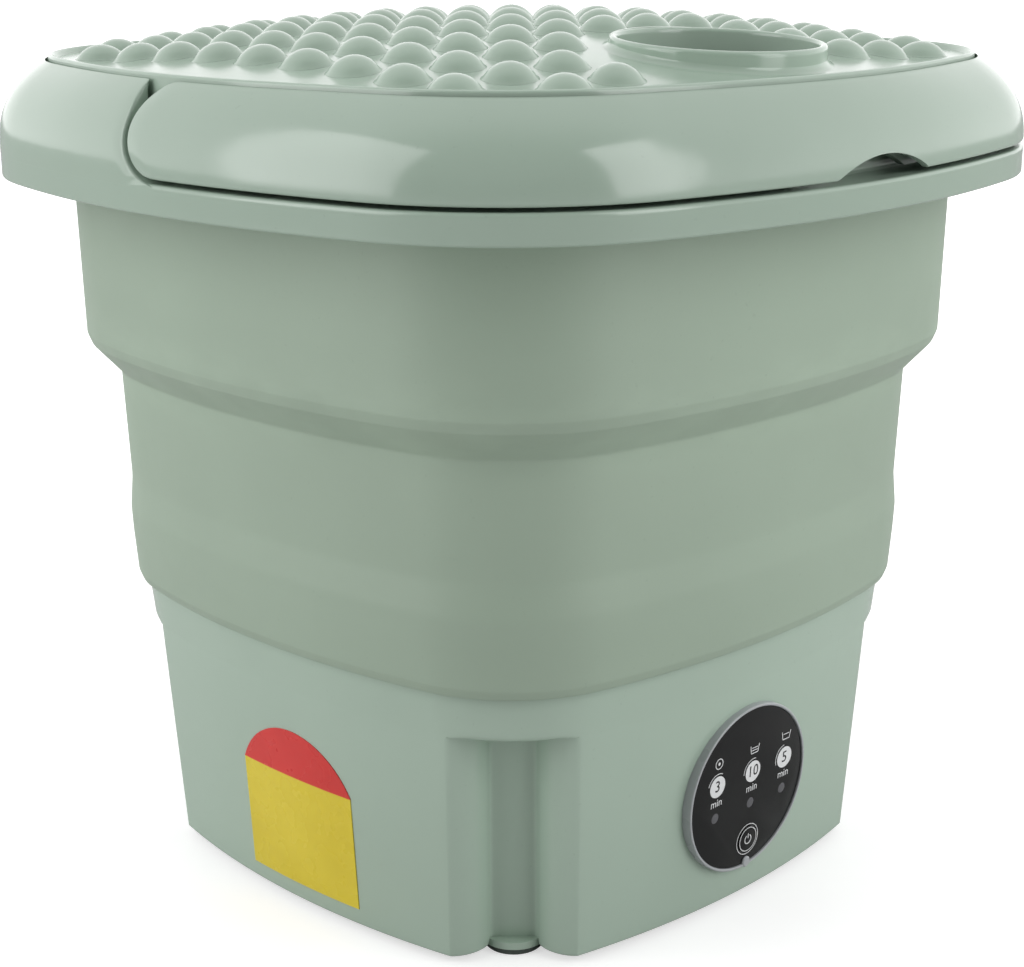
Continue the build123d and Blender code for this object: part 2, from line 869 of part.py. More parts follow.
def pivot_pins():
    """Two plain pins, fixed in the rim's wall, that the handle turns on."""
    inner = lid_wall_half() - rim_wall
    pin = x_cylinder(pivot_radius, inner, pin_end(), pivot_y, pivot_z())
    return Compound(children=[pin, mirror(pin, Plane.YZ)])


# Lid

def lid_plate_z():
    """Underside of the lid's flat margin, which sits on the rim's wall."""
    return deck_z + lid_wall_rise + soft_gap


def crown_height(x, y):
    """Top of the lid's plate at a place: a shallow ball inside the crown's radius, flat outside it."""
    margin = lid_plate_z() + lid_wall
    ball = (crown_radius ** 2 + crown_rise ** 2) / (2 * crown_rise)
    distance = math.hypot(x, y)
    if distance >= crown_radius:
        return margin
    return margin + math.sqrt(ball ** 2 - distance ** 2) - (ball - crown_rise)


def bump_places():
    """Square lattice without its four corners and without the places that the port takes."""
    places = []
    for column in range(-bump_rows, bump_rows + 1):
        for row in range(-bump_rows, bump_rows + 1):
            x = column * bump_pitch
            y = row * bump_pitch
            corner = abs(column) == bump_rows and abs(row) == bump_rows
            clear = math.hypot(x - port_x, y - port_y) > port_radius + port_wall + bump_radius
            if clear and not corner:
                places.append((x, y))
    return places


def bump():
    """One domed bump as three stacked regular polygons that follow a ball."""
    ball = (bump_radius ** 2 + bump_height ** 2) / (2 * bump_height)
    middle_rise = bump_shoulder * bump_height
    middle_radius = math.sqrt(ball ** 2 - (ball - bump_height + middle_rise) ** 2)
    tiers = ((bump_radius, -bump_sink), (middle_radius, middle_rise), (bump_flat * bump_radius, bump_height))
    sections = [Pos(0, 0, height) * RegularPolygon(radius, bump_sides) for radius, height in tiers]
    return loft(sections, ruled=True)


def crown_solid(drop, floor):
    """Ball cap over the plate, lowered by drop and filled down to a floor."""
    edge = lid_plate_z() + lid_wall - drop
    middle = crown_height(crown_radius / 2, 0) - drop
    section = make_face([
        ThreePointArc((crown_radius, edge), (crown_radius / 2, middle), (0, edge + crown_rise)),
        Line((0, edge + crown_rise), (0, floor)),
        Line((0, floor), (crown_radius, floor)),
        Line((crown_radius, floor), (crown_radius, edge)),
    ])
    return revolve(Plane.XZ * section, Axis.Z)


def lid():
    """Crowned lid with its raised edge, locating skirt, bump lattice and open port."""
    low = lid_plate_z()
    margin = low + lid_wall
    lip_inner = lid_half - lid_lip_width
    root = lip_inner - lid_lip_root
    lip_low = low - lid_lip_drop
    lip = band([
        (lip_inner, lip_low), (lid_half, lip_low), (lid_half, margin + lid_lip_rise / 2),
        (lid_half - lid_lip_width / 2, margin + lid_lip_rise), (root, margin + lid_lip_rise / 2),
        (root, low), (lip_inner, low),
    ], RIM)
    base = plate(lip_inner, RIM, low, margin)
    body = base + crown_solid(0, margin - overlap) - crown_solid(lid_wall, low - overrun)
    skirt_outer = lid_wall_half() - rim_wall - soft_gap
    skirt_inner = skirt_outer - lid_skirt_wall
    skirt_low = low - lid_skirt_depth
    skirt = band([
        (skirt_inner, skirt_low), (skirt_outer, skirt_low), (skirt_outer, low + overlap),
        (skirt_inner, low + overlap),
    ], RIM)
    port_surface = crown_height(port_x, port_y)
    port_top = port_surface + port_rise
    port_low = port_surface - port_depth
    collar = cylinder_between(port_radius + port_wall, port_low, port_top, port_x, port_y)
    collar = fillet(collar.edges().group_by(Axis.Z)[-1], port_edge)
    body = body + lip + skirt + collar
    body -= cylinder_between(port_radius, port_low - overrun, port_top + overrun, port_x, port_y)
    one_bump = bump()
    bumps = [Pos(x, y, crown_height(x, y)) * one_bump for x, y in bump_places()]
    return body.fuse(*bumps)


# Drive

def bracket_top():
    return tub_floor_z - tub_wall - bracket_drop


def bracket_screw_places():
    return [(sx * bracket_screw_offset, sy * bracket_screw_offset) for sx in (-1, 1) for sy in (-1, 1)]


def drive_bracket():
    """Bracket under the basin: a plate that carries the motor and the long bearing housing."""
    high = bracket_top()
    low = high - bracket_thickness
    housing_low = high - housing_length
    circles = [Circle(bracket_radius), Pos(motor_distance, 0) * Circle(motor_radius + bracket_margin)]
    hull = make_hull([edge for circle in circles for edge in circle.edges()])
    bracket = extrude(Pos(0, 0, low) * hull, amount=bracket_thickness)
    bracket += cylinder_between(housing_radius, housing_low, high)
    bracket -= cylinder_between(bearing_radius - bearing_shoulder, 0, high + overrun)
    bracket -= cylinder_between(bearing_radius + fit_gap, high - bearing_width, high + overrun)
    bracket -= cylinder_between(bearing_radius + fit_gap, 0, housing_low + bearing_width)
    for x, y in bracket_screw_places() + motor_screw_places():
        bracket -= cylinder_between(screw_radius + hole_gap, 0, high + overrun, x, y)
    return bracket


def motor_screw_places():
    return [(motor_distance, sy * motor_screw_offset) for sy in (-1, 1)]


def bracket_screws():
    head_low = bracket_top() - bracket_thickness - screw_head_height
    return Compound(children=[screw(x, y, head_low, bracket_screw_length) for x, y in bracket_screw_places()])


def motor_screws():
    """Two screws that come down through the bracket into the motor's end."""
    head_low = bracket_top()
    pieces = []
    for x, y in motor_screw_places():
        head = cylinder_between(screw_head_radius, head_low, head_low + motor_screw_head, x, y)
        pieces.append(head + cylinder_between(screw_radius, head_low - motor_screw_length, head_low, x, y))
    return Compound(children=pieces)


def motor():
    """Direct current motor can with its end boss, open for the shaft."""
    high = bracket_top() - bracket_thickness
    low = high - motor_length
    can = cylinder_between(motor_radius, low, high, motor_distance)
    can = chamfer(can.edges().group_by(Axis.Z)[0], motor_chamfer)
    can += cylinder_between(motor_nose_radius, low - motor_nose_height, low, motor_distance)
    bore_top = low + motor_bore_depth
    can -= cylinder_between(motor_shaft_radius + run_gap, low - overrun, bore_top, motor_distance)
    for x, y in motor_screw_places():
        can -= cylinder_between(screw_radius + fit_gap, high - motor_screw_length, high + overrun, x, y)
    return can


def motor_shaft():
    low = belt_z - belt_width / 2 - pulley_flange
    motor_low = bracket_top() - bracket_thickness - motor_length
    return cylinder_between(motor_shaft_radius, low, motor_low + motor_bore_depth - overlap, motor_distance)


def groove_radius(outer):
    """Radius of a pulley's groove floor, deeper than the belt is thick."""
    return outer - belt_thickness - pulley_rim


def pulley(outer, bore, x):
    """Flanged pulley with a groove for the belt."""
    half = belt_width / 2
    groove = groove_radius(outer) - soft_gap
    core = tube_between(groove, bore, belt_z - half - pulley_flange, belt_z + half + pulley_flange, x)
    half_flange = (pulley_flange - soft_gap) / 2
    for side in (-1, 1):
        middle = belt_z + side * (half + soft_gap + half_flange)
        core += tube_between(outer, bore, middle - half_flange, middle + half_flange, x)
    return core


def drive_pulley():
    wheel = pulley(drive_pulley_radius, shaft_radius + fit_gap, 0)
    for turn in range(pulley_holes):
        angle = 2 * math.pi * turn / pulley_holes
        x = pulley_hole_ring * math.cos(angle)
        y = pulley_hole_ring * math.sin(angle)
        wheel -= cylinder_between(pulley_hole_radius, 0, belt_z + belt_width + overrun, x, y)
    return wheel


def motor_pulley():
    return pulley(motor_pulley_radius, motor_shaft_radius + fit_gap, motor_distance)


def belt_outline(extra):
    """Closed belt line round both pulleys, extra millimetres outside the groove floors."""
    large = groove_radius(drive_pulley_radius) + extra
    small = groove_radius(motor_pulley_radius) + extra
    circles = [Circle(large), Pos(motor_distance, 0) * Circle(small)]
    return make_hull([edge for circle in circles for edge in circle.edges()])


def drive_belt():
    low = belt_z - belt_width / 2
    outer = extrude(Pos(0, 0, low) * belt_outline(belt_thickness), amount=belt_width)
    return outer - extrude(Pos(0, 0, low - overrun) * belt_outline(0), amount=belt_width + 2 * overrun)


def bearings():
    high = bracket_top()
    low = high - housing_length
    upper = tube_between(bearing_radius, shaft_radius + run_gap, high - bearing_width, high)
    lower = tube_between(bearing_radius, shaft_radius + run_gap, low, low + bearing_width)
    return Compound(children=[upper, lower])


def shaft_seal():
    low = bracket_top() + soft_gap
    return tube_between(seal_radius, shaft_radius + run_gap, low, low + seal_height)


def impeller_low():
    return tub_floor_z + impeller_clearance


def hub_top():
    return impeller_low() + hub_height


def drive_shaft():
    low = belt_z - belt_width / 2 - pulley_flange - shaft_stub
    high = hub_top() - hub_web
    shaft = cylinder_between(shaft_radius, low, high)
    hole_low = hub_top() - hub_bore_depth - impeller_screw_length
    return shaft - cylinder_between(impeller_screw_radius + fit_gap, hole_low, high + overrun)


def pulley_nut():
    low = belt_z + belt_width / 2 + pulley_flange
    nut = extrude(Pos(0, 0, low) * RegularPolygon(nut_radius, 6, major_radius=False), amount=nut_height)
    return nut - cylinder_between(shaft_radius + fit_gap, low - overrun, low + overrun)


def vane():
    """One curved vane: a tapered upright whose top slopes from the hub to the tip."""
    low = impeller_low() + impeller_thickness - overlap
    high = impeller_low() + impeller_thickness
    tip = impeller_radius - vane_tip_inset
    bend = tip / 2
    half = vane_half_width
    plan = make_face([
        ThreePointArc((vane_root, -half), (bend, vane_sweep - half), (tip, -half / 2)),
        ThreePointArc((tip, -half / 2), (tip + half / 4, 0), (tip, half / 2)),
        ThreePointArc((tip, half / 2), (bend, vane_sweep + half), (vane_root, half)),
        Line((vane_root, half), (vane_root, -half)),
    ])
    upright = extrude(Pos(0, 0, low) * plan, amount=vane_height + overlap, taper=vane_draft)
    outside = impeller_radius
    slope = make_face(Polyline([
        (0, low), (outside, low), (outside, high + vane_tip_height), (hub_foot_radius, high + vane_height),
        (0, high + vane_height),
    ], close=True))
    return upright & revolve(Plane.XZ * slope, Axis.Z)


def impeller():
    """Dished disc with curved vanes that slope to the rim, and a hub that takes the shaft."""
    low = impeller_low()
    top = low + impeller_thickness
    rim_top = top + impeller_rim_rise
    bevel = impeller_thickness / 2
    dish = make_face(Polyline([
        (0, low), (impeller_radius - bevel, low), (impeller_radius, low + bevel), (impeller_radius, rim_top),
        (impeller_radius - impeller_rim, rim_top), (impeller_radius - 2 * impeller_rim, top),
        (hub_foot_radius, top), (hub_radius + hub_foot_rise, top + hub_foot_rise),
        (hub_radius, hub_top()), (0, hub_top())], close=True))
    disc = revolve(Plane.XZ * dish, Axis.Z)
    one_vane = vane()
    for turn in range(vane_count):
        disc += Rot(0, 0, 360 / vane_count * turn) * one_vane
    disc -= cylinder_between(shaft_radius + fit_gap, low - overrun, hub_top() - hub_web)
    disc -= cylinder_between(impeller_screw_radius + hole_gap, low, hub_top() + overrun)
    return disc - cylinder_between(hub_bore, hub_top() - hub_bore_depth, hub_top() + overrun)


def impeller_screw():
    low = hub_top() - hub_bore_depth
    head = cylinder_between(impeller_head_radius, low, low + impeller_head_height)
    return head + cylinder_between(impeller_screw_radius, low - impeller_screw_length, low)


def impeller_cap():
    """Cap that plugs the hub over the screw."""
    low = hub_top() - cap_plug
    radius = hub_radius - overlap
    ball = (radius ** 2 + cap_rise ** 2) / (2 * cap_rise)
    middle = hub_top() + cap_rise - ball + math.sqrt(ball ** 2 - radius ** 2 / 4)
    section = make_face([
        Line((0, low), (hub_bore - fit_gap, low)),
        Line((hub_bore - fit_gap, low), (hub_bore - fit_gap, hub_top())),
        Line((hub_bore - fit_gap, hub_top()), (radius, hub_top())),
        ThreePointArc((radius, hub_top()), (radius / 2, middle), (0, hub_top() + cap_rise)),
        Line((0, hub_top() + cap_rise), (0, low)),
    ])
    return revolve(Plane.XZ * section, Axis.Z)


# Panel and electrics

def pierced(disc, lamp_hole):
    """A panel disc with holes for the start button and the three lamps."""
    x, y = panel_point(button_x, button_z)
    disc -= panel_disc(button_radius + button_gap, -2 * overrun, overrun, x, y)
    for lamp_x in lamp_positions:
        x, y = panel_point(lamp_x, lamp_z)
        disc -= panel_disc(lamp_hole, -2 * overrun, overrun, x, y)
    return disc


def overlay_face():
    """Height of the overlay's outer face in front of the panel's tangent plane."""
    return bezel_proud - bezel_dish + overlay_thickness


def panel_bezel():
    """Ring and backing plate, with a sleeve that passes through the shell."""
    dish = bezel_proud - bezel_dish
    bezel = panel_disc(bezel_radius, -bezel_seat, bezel_proud)
    bezel -= panel_disc(bezel_radius - bezel_lip, dish, bezel_proud + overrun)
    sleeve = panel_disc(sleeve_radius, -sleeve_depth, -bezel_seat)
    sleeve -= panel_disc(sleeve_radius - sleeve_wall, -sleeve_depth - overrun, -bezel_seat)
    bezel = pierced(bezel + sleeve, lamp_radius + fit_gap)
    for x, y in board_post_places():
        post = panel_disc(post_radius, -board_depth, 0, x, y)
        bezel += post - panel_disc(screw_radius + fit_gap, -board_depth - overrun, -post_radius, x, y)
    return bezel


def board_post_places():
    return [(sx * post_x, sy * post_y) for sx in (-1, 1) for sy in (-1, 1)]


def panel_overlay():
    """Black face set in the bezel, pierced for the lamps and the start button."""
    radius = bezel_radius - bezel_lip - hole_gap
    disc = panel_disc(radius, overlay_face() - overlay_thickness, overlay_face())
    return pierced(disc, lamp_radius + fit_gap)


def lamp_windows():
    """Three light pipes that end flush with the overlay."""
    pieces = []
    for lamp_x in lamp_positions:
        x, y = panel_point(lamp_x, lamp_z)
        pieces.append(panel_disc(lamp_radius, -bezel_seat - light_pipe_length, overlay_face(), x, y))
    return Compound(children=pieces)


def start_button():
    """Round key that stands level with the overlay and reaches back to its switch."""
    x, y = panel_point(button_x, button_z)
    stem_end = switch_height - board_depth + button_travel + button_rest_gap
    key = panel_disc(button_radius, -button_key_depth, overlay_face() + button_proud, x, y)
    return key + panel_disc(button_stem_radius, stem_end, -button_key_depth, x, y)


def control_board():
    middle = -board_depth - board_thickness / 2
    board = panel_plane() * Pos(0, 0, middle) * Box(board_width, board_height, board_thickness)
    for x, y in board_post_places():
        board -= panel_disc(screw_radius + hole_gap, -board_depth - overrun, 0, x, y)
    return board


def board_screws():
    pieces = []
    back = -board_depth - board_thickness
    for x, y in board_post_places():
        head = panel_disc(screw_head_radius, back - screw_head_height, back, x, y)
        pieces.append(head + panel_disc(screw_radius, back, back + board_screw_length, x, y))
    return Compound(children=pieces)


def tact_switch():
    x, y = panel_point(button_x, button_z)
    middle = -board_depth + switch_body / 2
    body = panel_plane() * Pos(x, y, middle) * Box(switch_size, switch_size, switch_body)
    return body + panel_disc(switch_key_radius, switch_body - board_depth, switch_height - board_depth, x, y)


def indicator_lamps():
    """Small lamps on the board, one behind each light pipe."""
    pieces = []
    lamp_end = -bezel_seat - light_pipe_length - light_pipe_gap
    for lamp_x in lamp_positions:
        x, y = panel_point(lamp_x, lamp_z)
        pieces.append(panel_disc(board_lamp_radius, -board_depth, lamp_end, x, y))
    return Compound(children=pieces)


def back_cylinder(radius, near, far, x, z):
    """Cylinder along +Y between two distances from the centre plane."""
    return Pos(x, (near + far) / 2, z) * Rot(90, 0, 0) * Cylinder(radius, far - near)


def nozzle_start():
    """Where the hose nozzle leaves its flange, outside the back face."""
    return shell_half_at(spout_z) + spout_flange_thickness


def spout_end():
    return nozzle_start() + nozzle_length


def drain_spout():
    """Elbow from the basin's drain to the back wall, where a flange and a nozzle for a hose stand out."""
    top = tub_floor_z - tub_wall
    across = drain_x - spout_flange_radius
    wall = face_reach(shell_half_at(spout_z + spout_flange_radius), across, BODY)
    end = spout_end()
    down = cylinder_between(spout_radius, spout_z, top, drain_x, drain_y)
    upper_flange = cylinder_between(spout_flange_radius, top - spout_flange_thickness, top, drain_x, drain_y)
    knee = Pos(drain_x, drain_y, spout_z) * Sphere(spout_radius)
    out = back_cylinder(spout_radius, drain_y, wall + overlap, drain_x, spout_z)
    flange = back_cylinder(spout_flange_radius, wall + soft_gap, nozzle_start(), drain_x, spout_z)
    nozzle = back_cylinder(nozzle_radius, nozzle_start(), end, drain_x, spout_z)
    bore_down = cylinder_between(spout_bore, spout_z, top + overrun, drain_x, drain_y)
    bore_knee = Pos(drain_x, drain_y, spout_z) * Sphere(spout_bore)
    bore_out = back_cylinder(spout_bore, drain_y, end + overrun, drain_x, spout_z)
    return (down + upper_flange + knee + out + flange + nozzle) - (bore_down + bore_knee + bore_out)


def drain_plug():
    """Rubber plug with a flat head and a pull tab."""
    end = spout_end()
    head_end = end + plug_head
    stem = back_cylinder(plug_radius, end - plug_length, end, drain_x, spout_z)
    neck = back_cylinder(plug_radius - plug_neck_inset, end - overlap, head_end - overlap, drain_x, spout_z)
    head = back_cylinder(nozzle_radius - plug_head_inset, end + soft_gap, head_end, drain_x, spout_z)
    tab = box_between(
        (drain_x - tab_half_width, head_end - overlap, spout_z - tab_half_thickness),
        (drain_x + tab_half_width, end + tab_length, spout_z + tab_half_thickness))
    tab = fillet(tab.edges().filter_by(Axis.Z), tab_corner)
    return stem + neck + head + tab


def inlet_socket():
    """Direct current inlet: a flanged barrel with its centre pin, set in the back wall."""
    wall = shell_half_at(socket_z)
    floor = wall - socket_depth
    barrel = back_cylinder(socket_radius, wall - socket_length, wall, socket_x, socket_z)
    flange = back_cylinder(socket_flange, wall, wall + socket_flange_thickness, socket_x, socket_z)
    bore = back_cylinder(socket_bore, floor, wall + overrun, socket_x, socket_z)
    pin = back_cylinder(socket_pin, floor - overlap, wall - socket_pin, socket_x, socket_z)
    return (barrel + flange - bore) + pin


def label():
    """Bare sticker with an arched head, wrapped on the left face."""
    low = tapered(shell_foot_half, shell_z, shell_arch_half, arch_z, BODY)
    high = tapered(
        shell_foot_half + label_thickness, shell_z, shell_arch_half + label_thickness, arch_z, BODY)
    half = label_width / 2
    side_top = label_bottom + label_side_height
    low_y = label_y - half
    high_y = label_y + half
    shape = make_face([
        Line((low_y, side_top), (low_y, label_bottom)),
        Line((low_y, label_bottom), (high_y, label_bottom)),
        Line((high_y, label_bottom), (high_y, side_top)),
        ThreePointArc((high_y, side_top), (label_y, side_top + label_arch), (low_y, side_top)),
    ])
    side_plane = Plane((-rim_half, 0, 0), x_dir=(0, 1, 0), z_dir=(1, 0, 0))
    patch = extrude(side_plane * shape, amount=rim_half / 2)
    return (high & patch) - low


NODES = {
    "base_shell": base_shell,
    "tub_floor": tub_floor,
    "drain_strainer": strainer,
    "bottom_cover": bottom_cover,
    "rubber_feet": feet,
    "cover_screws": cover_screws,
    "bellows_cuff": bellows_cuff,
    "bellows_fold_wall": bellows_fold_wall,
    "bellows_upper_wall": bellows_upper_wall,
    "top_rim": top_rim,
    "clamp_ring": clamp_ring,
    "clamp_screws": clamp_screws,
    "carry_handle": carry_handle,
    "handle_pivot_pins": pivot_pins,
    "lid": lid,
    "drive_bracket": drive_bracket,
    "bracket_screws": bracket_screws,
    "motor": motor,
    "motor_screws": motor_screws,
    "motor_shaft": motor_shaft,
    "motor_pulley": motor_pulley,
    "drive_pulley": drive_pulley,
    "pulley_nut": pulley_nut,
    "drive_belt": drive_belt,
    "shaft_bearings": bearings,
    "shaft_seal": shaft_seal,
    "drive_shaft": drive_shaft,
    "impeller": impeller,
    "impeller_screw": impeller_screw,
    "impeller_cap": impeller_cap,
    "panel_bezel": panel_bezel,
    "panel_overlay": panel_overlay,
    "lamp_windows": lamp_windows,
    "start_button": start_button,
    "control_board": control_board,
    "board_screws": board_screws,
    "tact_switch": tact_switch,
    "indicator_lamps": indicator_lamps,
    "drain_spout": drain_spout,
    "drain_plug": drain_plug,
    "inlet_socket": inlet_socket,
    "label_sticker": label,
}


os.makedirs("parts", exist_ok=True)
for name, make in NODES.items():
    export_step(make(), f"parts/{name}.step")
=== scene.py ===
import json
import math

import bmesh
import bpy
import numpy as np
from bpy.props import FloatProperty, FloatVectorProperty, IntProperty, PointerProperty
from mathutils import Matrix, Vector


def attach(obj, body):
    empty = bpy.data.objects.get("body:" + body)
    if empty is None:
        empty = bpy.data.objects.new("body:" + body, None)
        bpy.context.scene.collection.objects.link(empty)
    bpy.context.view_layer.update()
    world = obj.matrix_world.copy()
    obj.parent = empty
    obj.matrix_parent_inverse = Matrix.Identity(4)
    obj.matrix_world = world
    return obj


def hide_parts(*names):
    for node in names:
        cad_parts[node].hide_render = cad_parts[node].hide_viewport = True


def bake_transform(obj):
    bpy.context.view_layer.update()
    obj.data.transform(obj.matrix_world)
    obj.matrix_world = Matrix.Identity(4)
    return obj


bl_info = {
    "name": "Foldable washing machine",
    "version": (1, 0, 0),
    "blender": (4, 5, 0),
    "location": "3D View > Sidebar > Washer",
    "description": "Dresses a packed foldable washing machine with its visible surfaces and finishes",
    "category": "Object",
}

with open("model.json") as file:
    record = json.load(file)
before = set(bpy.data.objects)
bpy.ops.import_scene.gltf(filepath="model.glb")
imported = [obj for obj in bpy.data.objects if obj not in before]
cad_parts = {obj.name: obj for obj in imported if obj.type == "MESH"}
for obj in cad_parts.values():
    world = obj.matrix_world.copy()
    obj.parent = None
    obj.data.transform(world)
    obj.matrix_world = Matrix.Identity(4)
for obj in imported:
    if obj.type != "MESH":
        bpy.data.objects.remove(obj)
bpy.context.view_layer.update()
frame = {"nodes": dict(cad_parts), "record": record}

# Shapes are worked out in millimetres and made in metres; settings are in metres
TO_MM, TO_METRES = 1000, 0.001

# Outlines: corner centre, and setback from half size to corner radius
BODY = (58.7, 65.0)
RIM = (68.0, 75.0)
CORNER_REACH = BODY[0] * math.sqrt(2)
FACE_STEPS = 36

# Casing: heights of its foot, its arch and its seam, the half sizes there, and the lean of its faces
SHELL_LOW, ARCH, SEAM = 2.5, 79.5, 94.5
FOOT_HALF, ARCH_HALF, SEAM_HALF = 104.4, 109.0, 110.6
FACE_LEAN = math.atan2(ARCH_HALF - FOOT_HALF, ARCH - SHELL_LOW)

# Corner recess: its depth, its side lobe's radius and place off the diagonal, and its floor's fillet;
# the width over which the arch's edges fade; and its columns on the floor, the fillet and the lobe
RECESS_DEPTH, LOBE, LOBE_PLACE, RECESS_FILLET = 15.0, 13.2, 20.0, 1.4
EDGE_FADE = 9.0
RECESS_COLUMNS = (3, 5, 15)

# Fittings on the back, as place across and height with the radius of the hole
BACK_HOLES = ((40, 19, 11.25), (-52, 24, 6.02))

# Panel: height of its middle, places across of lamps and times, their heights, and the start key's place
PANEL_HEIGHT = 42.5
TIMES_ACROSS = (-16.0, 2.0, 18.5)
LAMPS_HEIGHT, TIMES_HEIGHT = 36.4, 47.8
KEY = (2.0, 23.0)

# Prints: thickness, and the levels of the panel's face and of the key's top over the panel's seat
PRINT, FACE_LEVEL, KEY_LEVEL = 0.06, 1.685, 1.985

# Rim band: half size at its foot, how far it leans in at the top, its foot's height, its rise, and the power
BAND_HALF, BAND_LEAN, BAND_FOOT, BAND_RISE, BAND_POWER = 149.94, 12.3, 243.2, 28.0, 2.6

# Share by which the band's and the lid's corners are drawn in at the top, and the part of it at the flange
CORNER_DRAW, FLANGE_DRAW = 0.042, 0.37

# Handle's pivot, and the radii about it of the handle's ends and of their seats in the shoulder
PIVOT_Y, PIVOT_Z = -6.0, 258.0
HANDLE_END, SHOULDER_END = 13.2, 14.8
SHOULDER_LEAN = math.radians(3)

# A depth beyond every edge radius, where a face is left as it is
DEEP = 9.0

# Lid: underside of its plate, its margin, reach and rise of its crown, and pitch of its bumps
LID_PLATE, MARGIN = 268.8, 271.2
CROWN_REACH, CROWN_RISE = 130.0, 10.5
BUMP_PITCH = 20.8

# Port: its place, the radius that it keeps clear of bumps, and the radii of its cut, its collar and its foot
PORT, PORT_CLEAR = (-5.0, -92.0), 41.3
PORT_CUT, PORT_OUT, PORT_IN, PORT_FOOT = 31.5, 32.4, 30.0, 35.2


# Grids of points

def four_turns(points, axis=0):
    """Plan points with their quarter turns (x, y), (-y, x), (-x, -y) and (y, -x), joined along an axis."""
    turns = (((1, 0), (0, 1)), ((0, 1), (-1, 0)), ((-1, 0), (0, -1)), ((0, -1), (1, 0)))
    return np.concatenate([points @ np.array(turn) for turn in turns], axis=axis)


def face_arc(family):
    """A face's shallow arc: how far its centre lies past the middle, and the angle where it ends."""
    centre, setback = family
    back = (2 * centre ** 2 - setback ** 2) / (2 * (setback - centre))
    return back, math.atan2(centre, centre + back)


def outline_arcs(family):
    """Columns round an outline of four shallow and four tight arcs, all tangent.

    A shallow arc has its centre at (-back, 0) and a tight one at (centre, centre). The point of a
    column at half size h is its arc centre + (h + shift) * direction, so parallel outlines share columns.
    """
    centre, setback = family
    back, tangent = face_arc(family)
    face = np.linspace(-tangent, tangent, FACE_STEPS, endpoint=False)
    corner = np.linspace(tangent, math.pi / 2 - tangent, 24, endpoint=False)
    angle = np.concatenate([face, corner])
    on_face = np.arange(len(angle)) < FACE_STEPS
    middle = np.where(on_face[:, None], (-back, 0.0), (centre, centre))
    shift = np.where(on_face, back, -setback)
    direction = np.stack([np.cos(angle), np.sin(angle)], axis=1)
    return four_turns(middle), np.tile(shift, 4), four_turns(direction)


def rounded(corners, steps, hold=0.5):
    """Closed section from (half size, height, radius) corners, each turned into a round arc.

    The arc's centre lies on the corner's bisector, radius / sin(half angle) from the corner, and its
    points swing evenly between the two tangent points. One point before and one after hold the flats.
    """
    corners = np.array(corners, float)
    place, radius = corners[:, :2], corners[:, 2]
    before, after = np.roll(place, 1, axis=0) - place, np.roll(place, -1, axis=0) - place
    run_before, run_after = np.linalg.norm(before, axis=1), np.linalg.norm(after, axis=1)
    before, after = before / run_before[:, None], after / run_after[:, None]
    half = np.arccos(np.clip((before * after).sum(axis=1), -1, 1)) / 2
    setback = np.minimum(radius / np.tan(half), 0.48 * np.minimum(run_before, run_after))
    radius = setback * np.tan(half)
    bisector = before + after
    bisector /= np.linalg.norm(bisector, axis=1)[:, None]
    centre = place + bisector * (radius / np.sin(half))[:, None]
    first = (place + before * setback[:, None] - centre) / radius[:, None]
    last = (place + after * setback[:, None] - centre) / radius[:, None]
    swing = math.pi - 2 * half
    way = np.linspace(0, 1, steps)
    near = (np.sin((1 - way) * swing[:, None]) / np.sin(swing)[:, None])[..., None]
    far = (np.sin(way * swing[:, None]) / np.sin(swing)[:, None])[..., None]
    arc = centre[:, None] + radius[:, None, None] * (near * first[:, None] + far * last[:, None])
    lead, trail = (
        np.minimum(hold, 0.3 * (run - setback - np.roll(setback, to)))[:, None] * side
        for run, to, side in ((run_before, 1, before), (run_after, -1, after)))
    section = [arc[:, :1] + lead[:, None], arc, arc[:, -1:] + trail[:, None]]
    return np.concatenate(section, axis=1).reshape(-1, 2)


def filled(section, spacing):
    """The same closed section with points added along its runs, none further apart than the spacing."""
    ends = np.concatenate([section, section[:1]])
    travel = np.concatenate([[0.0], np.cumsum(np.linalg.norm(np.diff(ends, axis=0), axis=1))])
    counts = np.maximum(np.ceil(np.diff(travel) / spacing).astype(int), 1)
    index = np.arange(counts.sum()) - np.repeat(np.cumsum(counts) - counts, counts)
    along_it = np.repeat(travel[:-1], counts) + np.repeat(np.diff(travel) / counts, counts) * index
    return np.stack([np.interp(along_it, travel, ends[:, axis]) for axis in (0, 1)], axis=1)


def raised(plan, height):
    """Grid of plan points with one height for each row."""
    return np.concatenate([plan, np.broadcast_to(height[:, None, None], plan.shape[:2] + (1,))], axis=2)


def carried(section, family):
    """Grid of points: each section point carried round the outline of its own half size."""
    middle, shift, direction = outline_arcs(family)
    return raised(middle + (section[:, :1] + shift)[..., None] * direction, section[:, 1])


def lathed(section, steps, origin=(0.0, 0.0, 0.0)):
    """Grid of points: each (radius, height) point turned round an upright axis through the origin given."""
    angle = np.linspace(0, 2 * math.pi, steps, endpoint=False)
    section = np.asarray(section, float)
    ring = np.stack([np.cos(angle), np.sin(angle)], axis=1)
    return raised(section[:, :1, None] * ring, section[:, 1]) + np.array(origin)


def ball_radius(reach, rise):
    """Radius of the ball whose cap has this reach and this rise: (reach^2 + rise^2) / (2 rise)."""
    return (reach ** 2 + rise ** 2) / (2 * rise)


# Meshes

def quads(rows, columns, wrap_rows=False, wrap_columns=True):
    """Faces of an index grid: point (i, j) is i * columns + j, and the last joins the first where it wraps."""
    i = np.arange(rows if wrap_rows else rows - 1)[:, None]
    j = np.arange(columns if wrap_columns else columns - 1)[None, :]
    over, across = (i + 1) % rows, (j + 1) % columns
    corners = [i * columns + j, i * columns + across, over * columns + across, over * columns + j]
    return np.stack(corners, axis=-1).reshape(-1, 4)


